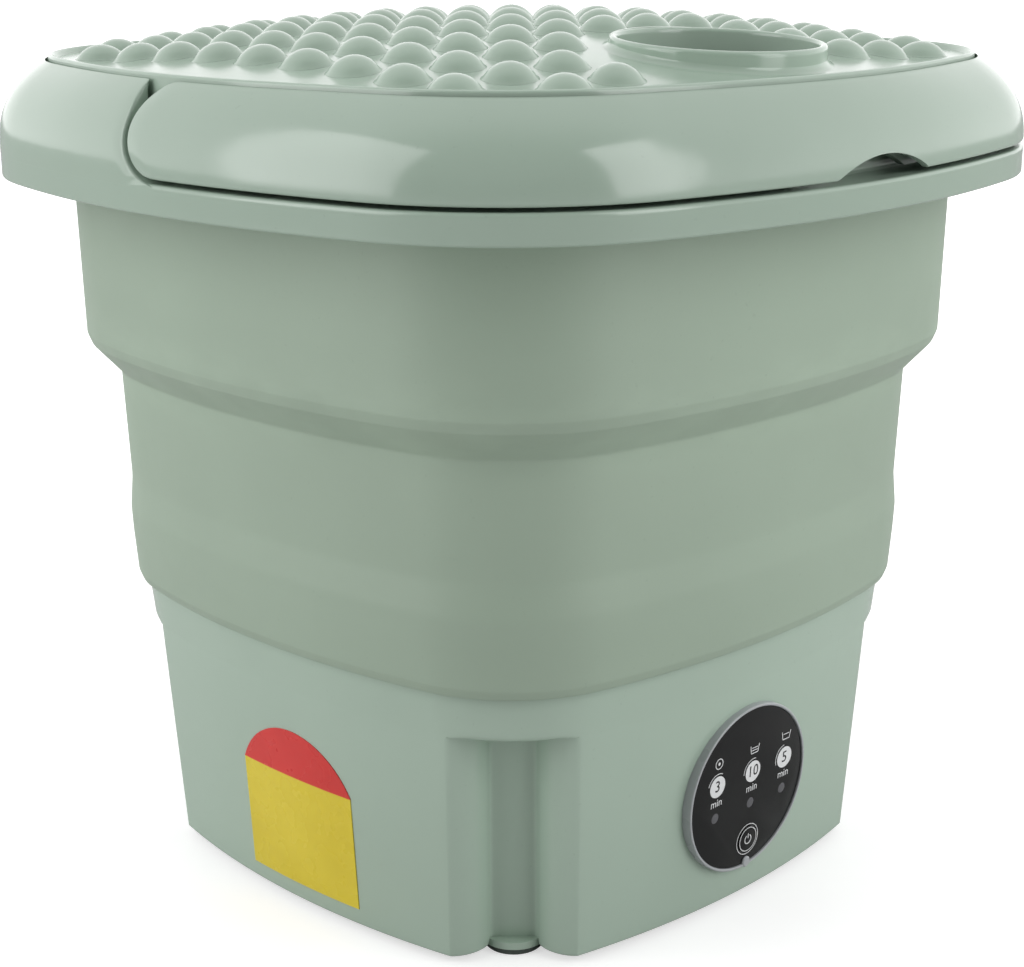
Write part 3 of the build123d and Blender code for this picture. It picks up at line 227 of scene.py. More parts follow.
def looped(grid):
    """Closed ring: the grid's rows and columns both join round."""
    rows, columns = grid.shape[:2]
    return grid.reshape(-1, 3), quads(rows, columns, True).tolist()


def capped(grid):
    """Closed skin: the columns join round, and one face each closes the first and the last row."""
    rows, columns = grid.shape[:2]
    ends = [list(range(columns)), list(range((rows - 1) * columns, rows * columns))]
    return grid.reshape(-1, 3), quads(rows, columns).tolist() + ends


def make_piece(name, islands, body=None, replaces=(), sharp=35.0):
    """One mesh object from closed islands in millimetres. Its faces are turned outward and shaded smooth."""
    points, faces, count = [], [], 0
    for island_points, island_faces in islands:
        points.append(np.asarray(island_points, float))
        faces += [[index + count for index in face] for face in island_faces]
        count += len(island_points)
    mesh = bpy.data.meshes.new(name)
    mesh.from_pydata((np.concatenate(points) * TO_METRES).tolist(), [], faces)
    piece = bpy.data.objects.new(name, mesh)
    bpy.context.scene.collection.objects.link(piece)
    work = bmesh.new()
    work.from_mesh(mesh)
    bmesh.ops.recalc_face_normals(work, faces=work.faces)
    work.to_mesh(mesh)
    work.free()
    finish_shading(mesh, sharp)
    if replaces:
        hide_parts(*replaces)
    if body:
        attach(piece, body)
    return piece


def finish_shading(mesh, sharp=35.0):
    """Smooth shading with edges kept sharp where faces meet at more than the angle given."""
    mesh.shade_smooth()
    mesh.set_sharp_from_angle(angle=math.radians(sharp))


def cut(piece, islands):
    """Takes closed islands out of a piece with an exact boolean, and keeps the mesh that it makes."""
    tool = make_piece(piece.name + "_tool", islands)
    modifier = piece.modifiers.new("cut", "BOOLEAN")
    modifier.operation, modifier.solver, modifier.object = "DIFFERENCE", "EXACT", tool
    old, tool_mesh = piece.data, tool.data
    made = bpy.data.meshes.new_from_object(piece.evaluated_get(bpy.context.evaluated_depsgraph_get()))
    piece.modifiers.clear()
    piece.data = made
    bpy.data.objects.remove(tool)
    for mesh in (old, tool_mesh):
        bpy.data.meshes.remove(mesh)
    made.name = piece.name
    finish_shading(made)


def placed(island, matrix):
    """A closed island moved by a 4 x 4 matrix in millimetres."""
    points, faces = island
    array = np.array(matrix)
    return np.asarray(points) @ array[:3, :3].T + array[:3, 3], faces


def at(x, y):
    """Matrix that moves a shape by x and y."""
    return Matrix.Translation((x, y, 0))


def along(axis, origin):
    """Matrix that lays an upright shape along +X or +Y, with its foot at the origin given."""
    turn = Matrix.Rotation(math.pi / 2, 4, "Y") if axis == "X" else Matrix.Rotation(-math.pi / 2, 4, "X")
    return Matrix.Translation(Vector(origin)) @ turn


def rod(radius, low, high, edge=0.0, steps=48):
    """Upright solid rod between two heights, with round edges where an edge radius is given."""
    section = [(radius, low), (radius, high)]
    if edge:
        swing = np.linspace(0, math.pi / 2, 4)
        lower = [radius - edge + edge * np.sin(swing), low + edge - edge * np.cos(swing)]
        upper = [radius - edge + edge * np.cos(swing), high - edge + edge * np.sin(swing)]
        section = np.concatenate([lower, upper], axis=1).T
    return capped(lathed(section, steps))


def tube(inner, outer, low, high, steps, origin=(0.0, 0.0, 0.0)):
    """Upright ring with a square section, between two radii and two heights."""
    return looped(lathed([(inner, low), (outer, low), (outer, high), (inner, high)], steps, origin))


def block(first, second):
    """Box between two corners, as a closed island."""
    x, y, z = np.sort(np.array([first, second], float), axis=0).T
    points = [(x[i], y[j], z[k]) for k in (0, 1) for i, j in ((0, 0), (1, 0), (1, 1), (0, 1))]
    faces = [[0, 3, 2, 1], [4, 5, 6, 7]] + [[k, (k + 1) % 4, 4 + (k + 1) % 4, 4 + k] for k in range(4)]
    return np.array(points), faces


# Sizes and colours that a user may change

def length(name, text, default):
    """A size in metres, shown with its unit."""
    return FloatProperty(
        name=name, description=text, default=default, min=0.0001, max=0.5, unit="LENGTH", precision=4)


def tint(name, text, default):
    """A colour with its alpha left out."""
    return FloatVectorProperty(
        name=name, description=text, default=default, size=3, min=0, max=1, subtype="COLOR")


def share(name, text, default):
    """A number from none to all."""
    return FloatProperty(name=name, description=text, default=default, min=0, max=1, subtype="FACTOR")


class CasingSettings(bpy.types.PropertyGroup):
    """Rigid casing round the drive."""
    wall: length("Wall", "Thickness of the casing's wall", 0.0024)
    arch_edge: length("Arch edge", "Radius of the edge over each corner recess", 0.0018)
    foot_edge: length("Foot edge", "Radius of the casing's lower edge", 0.0008)
    colour: tint("Colour", "Colour of the hard mouldings", (0.37, 0.47, 0.39))
    roughness: share("Roughness", "How matt the hard mouldings are", 0.15)


class BellowsSettings(bpy.types.PropertyGroup):
    """Soft wall that folds."""
    ledge_edge: length("Ledge edge", "Radius of the bend into the ledge", 0.0022)
    bulge_edge: length("Bulge edge", "Radius of the slow bends in the fold wall", 0.022)
    colour: tint("Colour", "Colour of the soft wall", (0.352, 0.447, 0.35))
    roughness: share("Roughness", "How matt the soft wall is", 0.42)


class RimSettings(bpy.types.PropertyGroup):
    """Rim moulding with the handle and the lid on it."""
    flange_edge: length("Flange edge", "Radius of the flange's lower edge", 0.0009)
    end_edge: length("End edge", "Radius round the ends of the handle and the shoulder", 0.0011)
    notch_width: length("Notch width", "Width of the finger notch under the handle", 0.045)
    notch_height: length("Notch height", "Height of the finger notch under the handle", 0.006)


class LidSettings(bpy.types.PropertyGroup):
    """Lid with its bumps and its port."""
    bump_radius: length("Bump radius", "Radius of one bump at the lid's surface", 0.0078)
    bump_height: length("Bump height", "Height of one bump over the lid's surface", 0.0046)
    bump_steps: IntProperty(name="Bump steps", description="Points round one bump", default=24, min=8, max=48)
    port_edge: length("Port edge", "Radius of the port collar's upper edge", 0.0012)


class PanelSettings(bpy.types.PropertyGroup):
    """Control panel and its marks."""
    face: tint("Face", "Colour of the panel's black face", (0.005, 0.005, 0.0055))
    ring: tint("Ring", "Colour of the panel's ring", (0.42, 0.44, 0.455))
    marks: tint("Marks", "Colour of the printed marks", (0.82, 0.83, 0.84))


class StageSettings(bpy.types.PropertyGroup):
    """Camera, lights and floor."""
    world: FloatProperty(
        name="World", description="Brightness of the surroundings behind the object", default=1.68, min=0)
    boxes: FloatProperty(
        name="Soft boxes", description="Power of each soft box", default=8.0, min=0, unit="POWER")
    floor: tint("Floor", "Colour of the floor", (0.55, 0.55, 0.55))


# Hard casing

def shell_half(height):
    """Half size of the casing's face: leaning up to the arch, then a little steeper to the seam."""
    return np.interp(height, (SHELL_LOW, ARCH, SEAM), (FOOT_HALF, ARCH_HALF, SEAM_HALF))


def corner_half(half, grow, above):
    """Half of one corner in its diagonal frame, from the diagonal to the middle of the next face.

    Below the arch the columns follow the recess: a flat floor, a fillet, a round lobe whose top meets the
    corner arc at the lobe's place off the diagonal. Above it the same columns lie on the corner arc, at
    centre + sqrt(radius^2 - across^2). The rest of the corner arc and half a face arc close the row.
    The two parts returned are the distances along the diagonal and across it.
    """
    half, grow, above = half[:, None], grow[:, None], above[:, None]
    full = half - BODY[1]
    radius = full - grow
    lobe = LOBE - grow
    lobe_centre = CORNER_REACH + np.sqrt(full ** 2 - LOBE_PLACE ** 2) - LOBE
    floor = CORNER_REACH + full - RECESS_DEPTH - grow
    bend = RECESS_FILLET - 0.3 * grow
    lift = floor + bend - lobe_centre
    floor_edge = LOBE_PLACE - np.sqrt((lobe + bend) ** 2 - lift ** 2)
    meet = np.arccos(np.clip(lift / (lobe + bend), -1, 1))
    on_floor, on_fillet, on_lobe = (np.linspace(0, 1, count, endpoint=False) for count in RECESS_COLUMNS)
    flat = on_floor * floor_edge
    swing = math.pi - meet * on_fillet
    turn = meet * (1 - on_lobe)
    across = np.concatenate(
        [flat, floor_edge + bend * np.sin(swing), LOBE_PLACE - lobe * np.sin(turn)], axis=1)
    recessed = np.concatenate(
        [floor + 0 * flat, floor + bend + bend * np.cos(swing), lobe_centre + lobe * np.cos(turn)], axis=1)
    plain = CORNER_REACH + np.sqrt(np.maximum(radius ** 2 - across ** 2, 0))
    back, tangent = face_arc(BODY)
    start = np.arcsin(LOBE_PLACE / radius)
    arc = start + (math.pi / 4 - tangent - start) * np.linspace(0, 1, 4, endpoint=False)
    angle = np.linspace(math.pi / 2 - tangent, math.pi / 2, 20)
    reach = half - grow + back
    x, y = reach * np.cos(angle), reach * np.sin(angle) - back
    return np.stack([
        np.concatenate([np.where(above, plain, recessed), CORNER_REACH + radius * np.cos(arc),
                        (x + y) / math.sqrt(2)], axis=1),
        np.concatenate([across, radius * np.sin(arc), (y - x) / math.sqrt(2)], axis=1)])


def casing_grid(rows):
    """Grid of the casing's skin from the rows of its section.

    The arch's rounded edges fade out towards the recess's sides by a smooth step of the distance left to them.
    """
    height, face_height, grow, above, face_grow = rows.T
    above = above > 0.5
    edged = corner_half(shell_half(height), grow, above)
    even = corner_half(shell_half(height), face_grow, above)
    inside = np.clip((LOBE_PLACE - even[1]) / EDGE_FADE, 0, 1)
    depth = np.where((grow != face_grow)[:, None], inside * inside * (3 - 2 * inside), 1.0)
    plan = corner_half(shell_half(face_height), face_grow, above)
    recess = np.arange(plan.shape[2]) < sum(RECESS_COLUMNS)
    plan = np.where(recess, even + (edged - even) * depth, plan)
    level = np.where(recess, height[:, None], face_height[:, None])
    away, across, level = (
        np.concatenate([side * half[:, :0:-1], half[:, :-1]], axis=1)
        for side, half in zip((1, -1, 1), (*plan, level)))
    ring = four_turns(np.stack([away - across, away + across], axis=2) / math.sqrt(2), axis=1)
    return np.concatenate([ring, np.tile(level, 4)[..., None]], axis=2)


def casing_section(wall, arch_edge, foot_edge):
    """Rows from the foot up the outside to the seam, and down the inside again.

    A row holds its height, its height on the faces, its step back, whether it lies above the arch, and its
    step back on the faces. An edge turns a quarter circle: radius * (1 - cos) up, radius * (1 - sin) back.
    """
    swing = np.linspace(0, math.pi / 2, 5)
    rise, back = 1 - np.cos(swing), 1 - np.sin(swing)
    inner, seam_edge = 1.6, 0.6
    spread = np.linspace(ARCH - 1.9, ARCH + 2.2, 11)

    def rows(*values):
        return np.stack(np.broadcast_arrays(*values), axis=1)

    def even(level, grow, above):
        return rows(level, level, grow, above, grow)

    return np.concatenate([
        even(SHELL_LOW + foot_edge * rise, foot_edge * back, 0),
        even(np.linspace(SHELL_LOW + 1.6, ARCH - 2.4, 24), 0, 0),
        rows(ARCH - inner + inner * np.sin(swing), spread[:5], -inner * rise, 0, 0),
        rows(ARCH + arch_edge * rise, spread[5:10], arch_edge * back, 1, 0),
        even(np.linspace(ARCH + 2.8, SEAM - 1.2, 6), 0, 1),
        even(SEAM - seam_edge + seam_edge * np.sin(swing), seam_edge * rise, 1),
        even(np.array([SEAM, SEAM - 4.0, ARCH + wall + 0.4]), wall, 1),
        even(np.linspace(ARCH + wall, SHELL_LOW, 8), wall, 0)])


def panel_matrix():
    """Frame on the front face at the panel: X across, Y up the face, Z out of it."""
    out = Vector((0, -math.cos(FACE_LEAN), -math.sin(FACE_LEAN)))
    up = Vector((0, -math.sin(FACE_LEAN), math.cos(FACE_LEAN)))
    turn = Matrix((Vector((1, 0, 0)), up, out)).transposed().to_4x4()
    return Matrix.Translation((0, -float(shell_half(PANEL_HEIGHT)), PANEL_HEIGHT)) @ turn


def foot_spots():
    """Places of the four feet, on the diagonals, 20.5 mm inside the casing's corners."""
    offset = (CORNER_REACH + FOOT_HALF - BODY[1] - 20.5) / math.sqrt(2)
    return [(sx * offset, sy * offset) for sx in (-1, 1) for sy in (-1, 1)]


class WASHER_OT_casing(bpy.types.Operator):
    """Make the rigid casing with its arched corner recesses"""
    bl_idname = "washer.casing"
    bl_label = "Casing"

    def execute(self, context):
        set_ = context.scene.washer_casing
        rows = casing_section(set_.wall * TO_MM, set_.arch_edge * TO_MM, set_.foot_edge * TO_MM)
        casing = make_piece("casing", [looped(casing_grid(rows))], "base", ("base_shell",))
        seat = panel_matrix()
        holes = [placed(rod(*sizes, steps=96), seat) for sizes in ((29.55, -1.4, 6), (26.25, -9, 2))]
        for x, z, radius in BACK_HOLES:
            holes.append(placed(rod(radius, -10, 10), along("Y", (x, float(shell_half(z)), z))))
        cut(casing, holes)
        extras = [tube(2.55, 10.5, 2.5, 4.9, 40, (x, y, 0)) for x, y in foot_spots()]
        for x in (-92, 92):
            for y in (-42, 42):
                extras.append(tube(1.52, 4.5, 7.0, 37.0, 24, (x, y, 0)))
                extras.append(block((x, y - 1, 7.0), (math.copysign(100.6, x), y + 1, 37.0)))
        make_piece("casing_bosses", extras, "base")
        # The casing takes a paler copy of the hard plastic than the rim does: painted light on its lower faces.
        paint("casing_plastic", casing, "casing_bosses")
        return {"FINISHED"}


# Soft wall

def bellows_section(ledge_edge, bulge_edge):
    """Closed section of the soft wall: cuff, bulge, waist, ledge, shelf, upper wall and its bead."""
    return filled(rounded([
        (112.8, 94.5, 0.9), (114.05, 97.6, 4.0), (115.0, 111.0, bulge_edge), (115.4, 120.0, bulge_edge),
        (114.4, 131.0, bulge_edge), (115.8, 168.5, ledge_edge), (125.0, 178.5, 3.0), (126.4, 182.0, 3.0),
        (127.4, 234.0, 1.0), (127.4, 238.5, 0.3), (129.3, 238.6, 0.5), (129.3, 240.5, 0.5),
        (125.2, 240.5, 0.5), (125.1, 234.5, 1.0), (124.2, 182.8, 3.0), (122.8, 179.6, 3.0),
        (113.6, 169.4, 2.0), (112.2, 131.0, bulge_edge), (113.1, 120.0, bulge_edge), (112.8, 111.0, bulge_edge),
        (111.05, 106.0, 1.0), (111.05, 94.5, 0.7),
    ], 7), 2.4)


class WASHER_OT_bellows(bpy.types.Operator):
    """Make the soft wall in one piece, between the base and the rim"""
    bl_idname = "washer.bellows"
    bl_label = "Bellows"

    def execute(self, context):
        set_ = context.scene.washer_bellows
        section = bellows_section(set_.ledge_edge * TO_MM, set_.bulge_edge * TO_MM)
        bellows = make_piece(
            "bellows", [looped(carried(section, BODY))],
            replaces=("bellows_cuff", "bellows_fold_wall", "bellows_upper_wall"))
        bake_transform(bellows)
        paint("soft_wall", bellows)
        return {"FINISHED"}


# Rim moulding

def band_half(height):
    """Half size of the rim band, upright at its foot: start - lean * ((height - foot) / rise)^power."""
    return BAND_HALF - BAND_LEAN * np.clip((height - BAND_FOOT) / BAND_RISE, 0, 1) ** BAND_POWER


def drawn_in(points, weight):
    """Points drawn towards the upright axis at the corners: plan * (1 - draw * weight * (2 |x y| / r^2)^2)."""
    x, y = points[..., 0], points[..., 1]
    corner = (2 * np.abs(x * y) / np.maximum(x ** 2 + y ** 2, 1)) ** 2
    plan = points[..., :2] * (1 - CORNER_DRAW * weight * corner)[..., None]
    return np.concatenate([plan, points[..., 2:]], axis=-1)


def rolled_in(points):
    """The band's corners drawn in, more so by the cube of the height, so that its top edge rolls over."""
    height = np.clip((points[..., 2] - 244.0) / 27.0, 0, 1)
    return drawn_in(points, FLANGE_DRAW + (1 - FLANGE_DRAW) * height ** 3)


def open_run(half, height, end_y, insets):
    """Grid round the front of a rim outline, from end_y on the right face to end_y on the left.

    half, height and end_y hold one value for each row. Columns are angles on five arcs: what is left of the
    right face, a corner, the front face, a corner and the left face. Insets add columns close to both ends.
    """
    centre, setback = RIM
    back, tangent = face_arc(RIM)
    start = np.arcsin((end_y[:, None] - np.array(insets, float)) / (half[:, None] + back))
    last = start[:, -1:]
    right = last + (-tangent - last) * np.linspace(0, 1, 14, endpoint=False)[1:]
    ends = np.concatenate([start, right], axis=1)
    corner_steps = 30
    front = np.concatenate([
        np.linspace(-tangent, tangent - math.pi / 2, corner_steps, endpoint=False),
        np.linspace(tangent - math.pi / 2, -math.pi / 2 - tangent, FACE_STEPS, endpoint=False),
        np.linspace(-math.pi / 2 - tangent, tangent - math.pi, corner_steps + 1)])
    angle = np.concatenate([ends, np.tile(front, (len(half), 1)), (-math.pi - ends)[:, ::-1]], axis=1)
    side = ends.shape[1]
    arc = np.repeat(np.arange(5), [side, corner_steps, FACE_STEPS, corner_steps + 1, side])
    middle = np.array([(-back, 0), (centre, -centre), (0, back), (-centre, -centre), (back, 0)], float)[arc]
    reach = half[:, None] + np.array([back, -setback, back, -setback, back])[arc]
    plan = np.stack([middle[:, 0] + reach * np.cos(angle), middle[:, 1] + reach * np.sin(angle)], axis=2)
    return raised(plan, height)


def bar(halves, height, end_y, depth_of, edge, insets):
    """Closed bar round the front of the rim, between an outer and an inner half size for each height.

    Near its outline each face steps back by radius - sqrt(radius^2 - (radius - depth)^2), a round edge.
    The two faces are joined along the top, along the bottom and across both ends, and rolled in at the corners.
    """
    limit = np.clip((halves[0] - halves[1])[:, None] / (3 * edge), 0, 1)
    grids = [open_run(half, height, end_y, insets) for half in halves]
    for grid, sign in zip(grids, (1, -1)):
        inside = np.clip(edge - depth_of(grid), 0, edge)
        back = (edge - np.sqrt(edge ** 2 - inside ** 2)) * limit * sign
        following = np.gradient(grid[..., :2], axis=1)
        normal = np.stack([-following[..., 1], following[..., 0]], axis=2)
        normal /= np.linalg.norm(normal, axis=2)[..., None]
        facing = np.sign((normal * grid[..., :2]).sum(axis=2))[..., None]
        grid[..., :2] -= normal * facing * back[..., None]
    loop = np.concatenate([grids[0], grids[1][::-1]], axis=0)
    rows, columns = loop.shape[:2]
    faces = quads(rows, columns, True, False).tolist()
    k = np.arange(len(height) - 1)
    for column in (0, columns - 1):
        pairs = [k, k + 1, rows - 2 - k, rows - 1 - k]
        faces += (np.stack(pairs, axis=1) * columns + column).tolist()
    return rolled_in(loop.reshape(-1, 3)), faces


def thin_tip(outer_half, inner_half):
    """Halves of a section that narrows to a round tip: the width becomes sqrt(width^2 - tip^2)."""
    width = outer_half - inner_half
    middle = (outer_half + inner_half) / 2
    width = np.sqrt(np.maximum(width ** 2 - 0.5 ** 2, 0.0004))
    return middle + width / 2, middle - width / 2


def end_columns(edge):
    """Insets of the columns that round an end: edge * (1 - cos) over a quarter turn."""
    return edge * (1 - np.cos(np.linspace(0, math.pi / 2, 5)))


def handle_island(edge):
    """The carry handle: a crowned bar round the front, with round ends about the pivot."""
    swing = np.linspace(0, math.pi, 40)
    height = PIVOT_Z - HANDLE_END * np.cos(swing)
    high = height[-1]
    inner_half = np.where(height < high - 4, 138.2, 137.5 + 0.7 * (high - height) / 4)

    def depth(grid):
        beyond = np.maximum(grid[..., 1] - PIVOT_Y, 0)
        return HANDLE_END - np.hypot(beyond, grid[..., 2] - PIVOT_Z)

    halves = thin_tip(band_half(height), inner_half)
    return bar(halves, height, PIVOT_Y + HANDLE_END * np.sin(swing), depth, edge, end_columns(edge))


def handle_hollow():
    """Space under the handle, open at the bottom, that ends 20 mm before the pivot."""
    height = np.array([243.8, 250.0, 256.0, 261.0, 264.5, 266.0])
    halves = np.maximum(band_half(height) - 2.6, 141.2), np.full(6, 140.8)
    return bar(halves, height, np.full(6, PIVOT_Y - 20.0), lambda grid: DEEP, 1.0, (0,))


def notch_island(width, height):
    """Finger notch: a low round arch through the front of the handle."""
    radius = ball_radius(width / 2, height)
    reach = math.asin(width / 2 / radius)
    angle = np.linspace(-reach, reach, 24)
    x = 2.0 + radius * np.sin(angle)
    z = 244.8 + height - radius * (1 - np.cos(angle))
    x, z = np.concatenate([[x[0]], x, [x[-1]]]), np.concatenate([[240.0], z, [240.0]])
    return capped(np.stack([np.stack([x, np.full_like(x, y), z], axis=1) for y in (-165.0, -125.0)]))


class WASHER_OT_handle(bpy.types.Operator):
    """Make the carry handle with its hollow and its finger notch"""
    bl_idname = "washer.handle"
    bl_label = "Carry handle"

    def execute(self, context):
        set_ = context.scene.washer_rim
        island = handle_island(set_.end_edge * TO_MM)
        handle = make_piece("handle", [island], "handle", ("carry_handle",))
        for tool in handle_hollow(), notch_island(set_.notch_width * TO_MM, set_.notch_height * TO_MM):
            cut(handle, [tool])
        paint("sage_plastic", handle)
        return {"FINISHED"}


def shoulder_island(edge):
    """Rear shoulder: the flange's skirt carried up into a crowned block, cut off round the handle's ends."""
    height = np.concatenate([
        [242.3, 243.0], np.linspace(243.7, PIVOT_Z, 16)[:-1], np.linspace(PIVOT_Z, 271.2, 18)])
    skirt, top = 243.4, 267.0
    halves = band_half(height), np.where(
        height < skirt, 147.6, np.where(height < top, 138.0, 138.0 - 0.5 * (height - top) / 4.2))
    halves = [np.where(height > 250, tip, half) for tip, half in zip(thin_tip(*halves), halves)]
    drop = np.clip(PIVOT_Z - height, 0, SHOULDER_END)
    lean = math.tan(SHOULDER_LEAN)
    end_y = PIVOT_Y + np.where(height < PIVOT_Z, np.sqrt(SHOULDER_END ** 2 - drop ** 2),
                               SHOULDER_END + lean * (height - PIVOT_Z))

    def depth(grid):
        y, z = -grid[..., 1], grid[..., 2]
        below = np.hypot(y - PIVOT_Y, np.minimum(z - PIVOT_Z, 0)) - SHOULDER_END
        above = (y - PIVOT_Y - SHOULDER_END - lean * (z - PIVOT_Z)) * math.cos(SHOULDER_LEAN)
        return np.where(z < skirt, DEEP, np.where(z < PIVOT_Z, below, above))

    points, faces = bar(halves, height, -end_y, depth, edge, end_columns(edge))
    return points * (1, -1, 1), faces


def rim_grid(flange_edge):
    """Grid of the rim: flange skirt, deck, wall under the lid, and the lip inside the soft wall."""
    wide = rounded([
        (132.7, 243.5, 0.6), (132.7, 268.5, 0.6), (135.2, 268.5, 0.6), (135.2, 243.5, 1.0),
        (149.93, 243.5, 1.1), (149.93, 234.5, flange_edge), (147.5, 234.5, 0.4), (147.5, 241.0, 0.8),
        (140.0, 241.0, 0.5)], 6)
    deep = rounded([(130.0, 241.0, 0.5), (124.5, 241.0, 0.5), (124.5, 226.0, 0.8), (122.0, 226.0, 0.8),
                    (122.0, 243.5, 0.8), (128.0, 243.5, 0.5)], 6)
    wide, deep = filled(wide, 4.0)[:-1], filled(deep, 4.0)[:-1]
    wide = wide[wide[:, 0] > 132.0]
    fading = FLANGE_DRAW + (1 - FLANGE_DRAW) * np.clip((147.5 - wide[:, :1]) / BAND_LEAN, 0, 1)
    return np.concatenate([drawn_in(carried(wide, RIM), fading), carried(deep, BODY)])


class WASHER_OT_rim(bpy.types.Operator):
    """Make the rim: flange, deck, lid wall, lip, rear shoulder and pivot bosses"""
    bl_idname = "washer.rim"
    bl_label = "Rim"

    def execute(self, context):
        set_ = context.scene.washer_rim
        ring = looped(rim_grid(set_.flange_edge * TO_MM))
        shoulder = shoulder_island(set_.end_edge * TO_MM)
        boss = tube(3.55, 7.0, 0, 3.2, 40)
        bosses = [placed(boss, along("X", (x, PIVOT_Y, PIVOT_Z))) for x in (-137.9, 134.7)]
        make_piece("rim", [ring] + bosses, "rim", ("top_rim",))
        make_piece("rim_shoulder", [shoulder], "rim", ("top_rim",))
        paint("sage_plastic", "rim", "rim_shoulder")
        return {"FINISHED"}


# Lid

def crown(x, y):
    """Height of the lid's face: a ball of the crown's radius over the margin, eased into it where it ends."""
    ball = ball_radius(CROWN_REACH, CROWN_RISE)
    distance = np.minimum(np.hypot(x, y), 400.0)
    rise = np.sqrt(ball ** 2 - distance ** 2) - (ball - CROWN_RISE)
    return MARGIN + (rise + np.sqrt(rise ** 2 + 0.16)) / 2


def lid_grid():
    """Grid of the lid: the face from its middle out, over the lip, and back along the underside."""
    edge = drawn_in(carried(np.array([(134.0, 0.0)]), RIM), 1.0)[0, :, :2]
    shares = np.concatenate([np.linspace(0.03, 0.96, 34), [0.985, 1.0]])

    def face(drop, order):
        plan = order[:, None, None] * edge
        height = crown(plan[..., 0], plan[..., 1]) - drop
        return np.concatenate([plan, height[..., None]], axis=2)

    lip = rounded([
        (134.3, MARGIN, 0.6), (134.9, MARGIN + 1.2, 0.4), (135.6, MARGIN + 1.75, 0.5),
        (136.5, MARGIN + 1.3, 0.7), (136.8, 265.8, 0.5), (135.5, 265.8, 0.3), (135.5, LID_PLATE, 0.3),
        (132.4, LID_PLATE, 0.4),
        (132.4, 259.3, 0.5), (130.2, 259.3, 0.5), (130.2, LID_PLATE, 0.4), (129.5, LID_PLATE + 0.1, 0.2)],
        5, hold=0.2)
    middle = drawn_in(carried(lip, RIM), 1.0)
    return np.concatenate([face(0.0, shares), middle, face(MARGIN - LID_PLATE, shares[::-1] * 0.95)])


def bump_spots():
    """Places of the bumps: a square lattice without its corners and without those that the port takes."""
    step = np.arange(-5, 6) * BUMP_PITCH
    x, y = [axis.ravel() for axis in np.meshgrid(step, step, indexing="ij")]
    corner = (np.abs(x) > 100) & (np.abs(y) > 100)
    clear = np.hypot(x - PORT[0], y - PORT[1]) > PORT_CLEAR
    return x[clear & ~corner], y[clear & ~corner]


def bump_islands(radius, height, steps):
    """Closed domes on the crown: a ball cap, eased into a flared foot, whose base is sunk in the lid.

    Each point's height is added to the crown's height at that very point, so that the foot follows the lid.
    """
    ball = ball_radius(radius, height)
    swing = np.linspace(0.06, 0.93, 8) * math.asin(radius / ball)
    out = np.concatenate([ball * np.sin(swing), [radius, radius * 1.07, radius * 1.07]])
    rise = np.concatenate([height - ball * (1 - np.cos(swing)), [0.28, -0.05, -0.9]])
    spot_x, spot_y = bump_spots()
    angle = np.linspace(0, 2 * math.pi, steps, endpoint=False)
    x = spot_x[:, None, None] + out[:, None] * np.cos(angle)
    y = spot_y[:, None, None] + out[:, None] * np.sin(angle)
    return [capped(grid) for grid in np.stack([x, y, crown(x, y) + rise[:, None]], axis=-1)]


def port_islands(edge):
    """The port's collar and its flared foot: the foot follows the crown's height, the collar half of it."""
    surface = float(crown(*PORT))
    low, top = surface - 12.0, surface + 4.2
    section = filled(rounded([
        (PORT_OUT, low, 0.4), (PORT_OUT, top, edge), (PORT_IN, top, edge), (PORT_IN, low, 0.4)], 7), 3.0)
    sweep = np.linspace(0, math.pi / 2, 7)
    flare = np.stack([PORT_FOOT - 3.0 * np.sin(sweep), surface - 0.1 + 3.0 * (1 - np.cos(sweep))], axis=1)
    flare = np.concatenate([
        [(PORT_CUT, surface - 1.6), (PORT_FOOT, surface - 1.6)], flare, [(PORT_CUT, surface + 2.9)]])
    grids = [lathed(shape, 96, (*PORT, 0)) for shape in (section, flare)]
    for grid, follow in zip(grids, (0.5, 1.0)):
        grid[..., 2] += follow * (crown(grid[..., 0], grid[..., 1]) - surface)
    return [looped(grid) for grid in grids]


class WASHER_OT_lid(bpy.types.Operator):
    """Make the lid with its lip, its bump lattice and its port"""
    bl_idname = "washer.lid"
    bl_label = "Lid"

    def execute(self, context):
        set_ = context.scene.washer_lid
        lid = make_piece("lid_plate", [capped(lid_grid())], "lid", ("lid",))
        cut(lid, [placed(rod(PORT_CUT, 240, 300, steps=96), at(*PORT))])
        bumps = bump_islands(set_.bump_radius * TO_MM, set_.bump_height * TO_MM, set_.bump_steps)
        make_piece("lid_port", port_islands(set_.port_edge * TO_MM), "lid", ("lid",))
        make_piece("lid_bumps", bumps, "lid", ("lid",), sharp=60)
        paint("lid_plastic", "lid_plate", "lid_port", "lid_bumps")
        return {"FINISHED"}


# Control panel

def flat_ring(x, y, outer, inner, level, start=0.0, sweep=2 * math.pi, steps=64):
    """Thin printed ring, disc (inner 0) or arc in the panel's own plane."""
    whole = sweep >= 2 * math.pi - 1e-6
    angle = start + sweep * np.linspace(0, 1, steps, endpoint=not whole)
    ring = np.stack([np.cos(angle), np.sin(angle)], axis=1)
    section = [(outer, level), (outer, level + PRINT)]
    if inner:
        section = [(inner, level), *section, (inner, level + PRINT)]
    radius, height = np.array(section, float).T
    grid = raised(radius[:, None, None] * ring + (x, y), height)
    if whole:
        return looped(grid) if inner else capped(grid)
    ends = [[k * steps + end for k in range(4)] for end in (0, steps - 1)]
    return grid.reshape(-1, 3), quads(4, steps, True, False).tolist() + ends


def flat_bar(start, end, width, level):
    """Thin printed bar between two points in the panel's own plane."""
    start, end = np.array(start, float), np.array(end, float)
    run = (end - start) / np.linalg.norm(end - start)
    side = np.array([-run[1], run[0]]) * width / 2
    plan = np.array([start - side, end - side, end + side, start + side])
    return capped(raised(np.stack([plan, plan]), np.array([level, level + PRINT])))


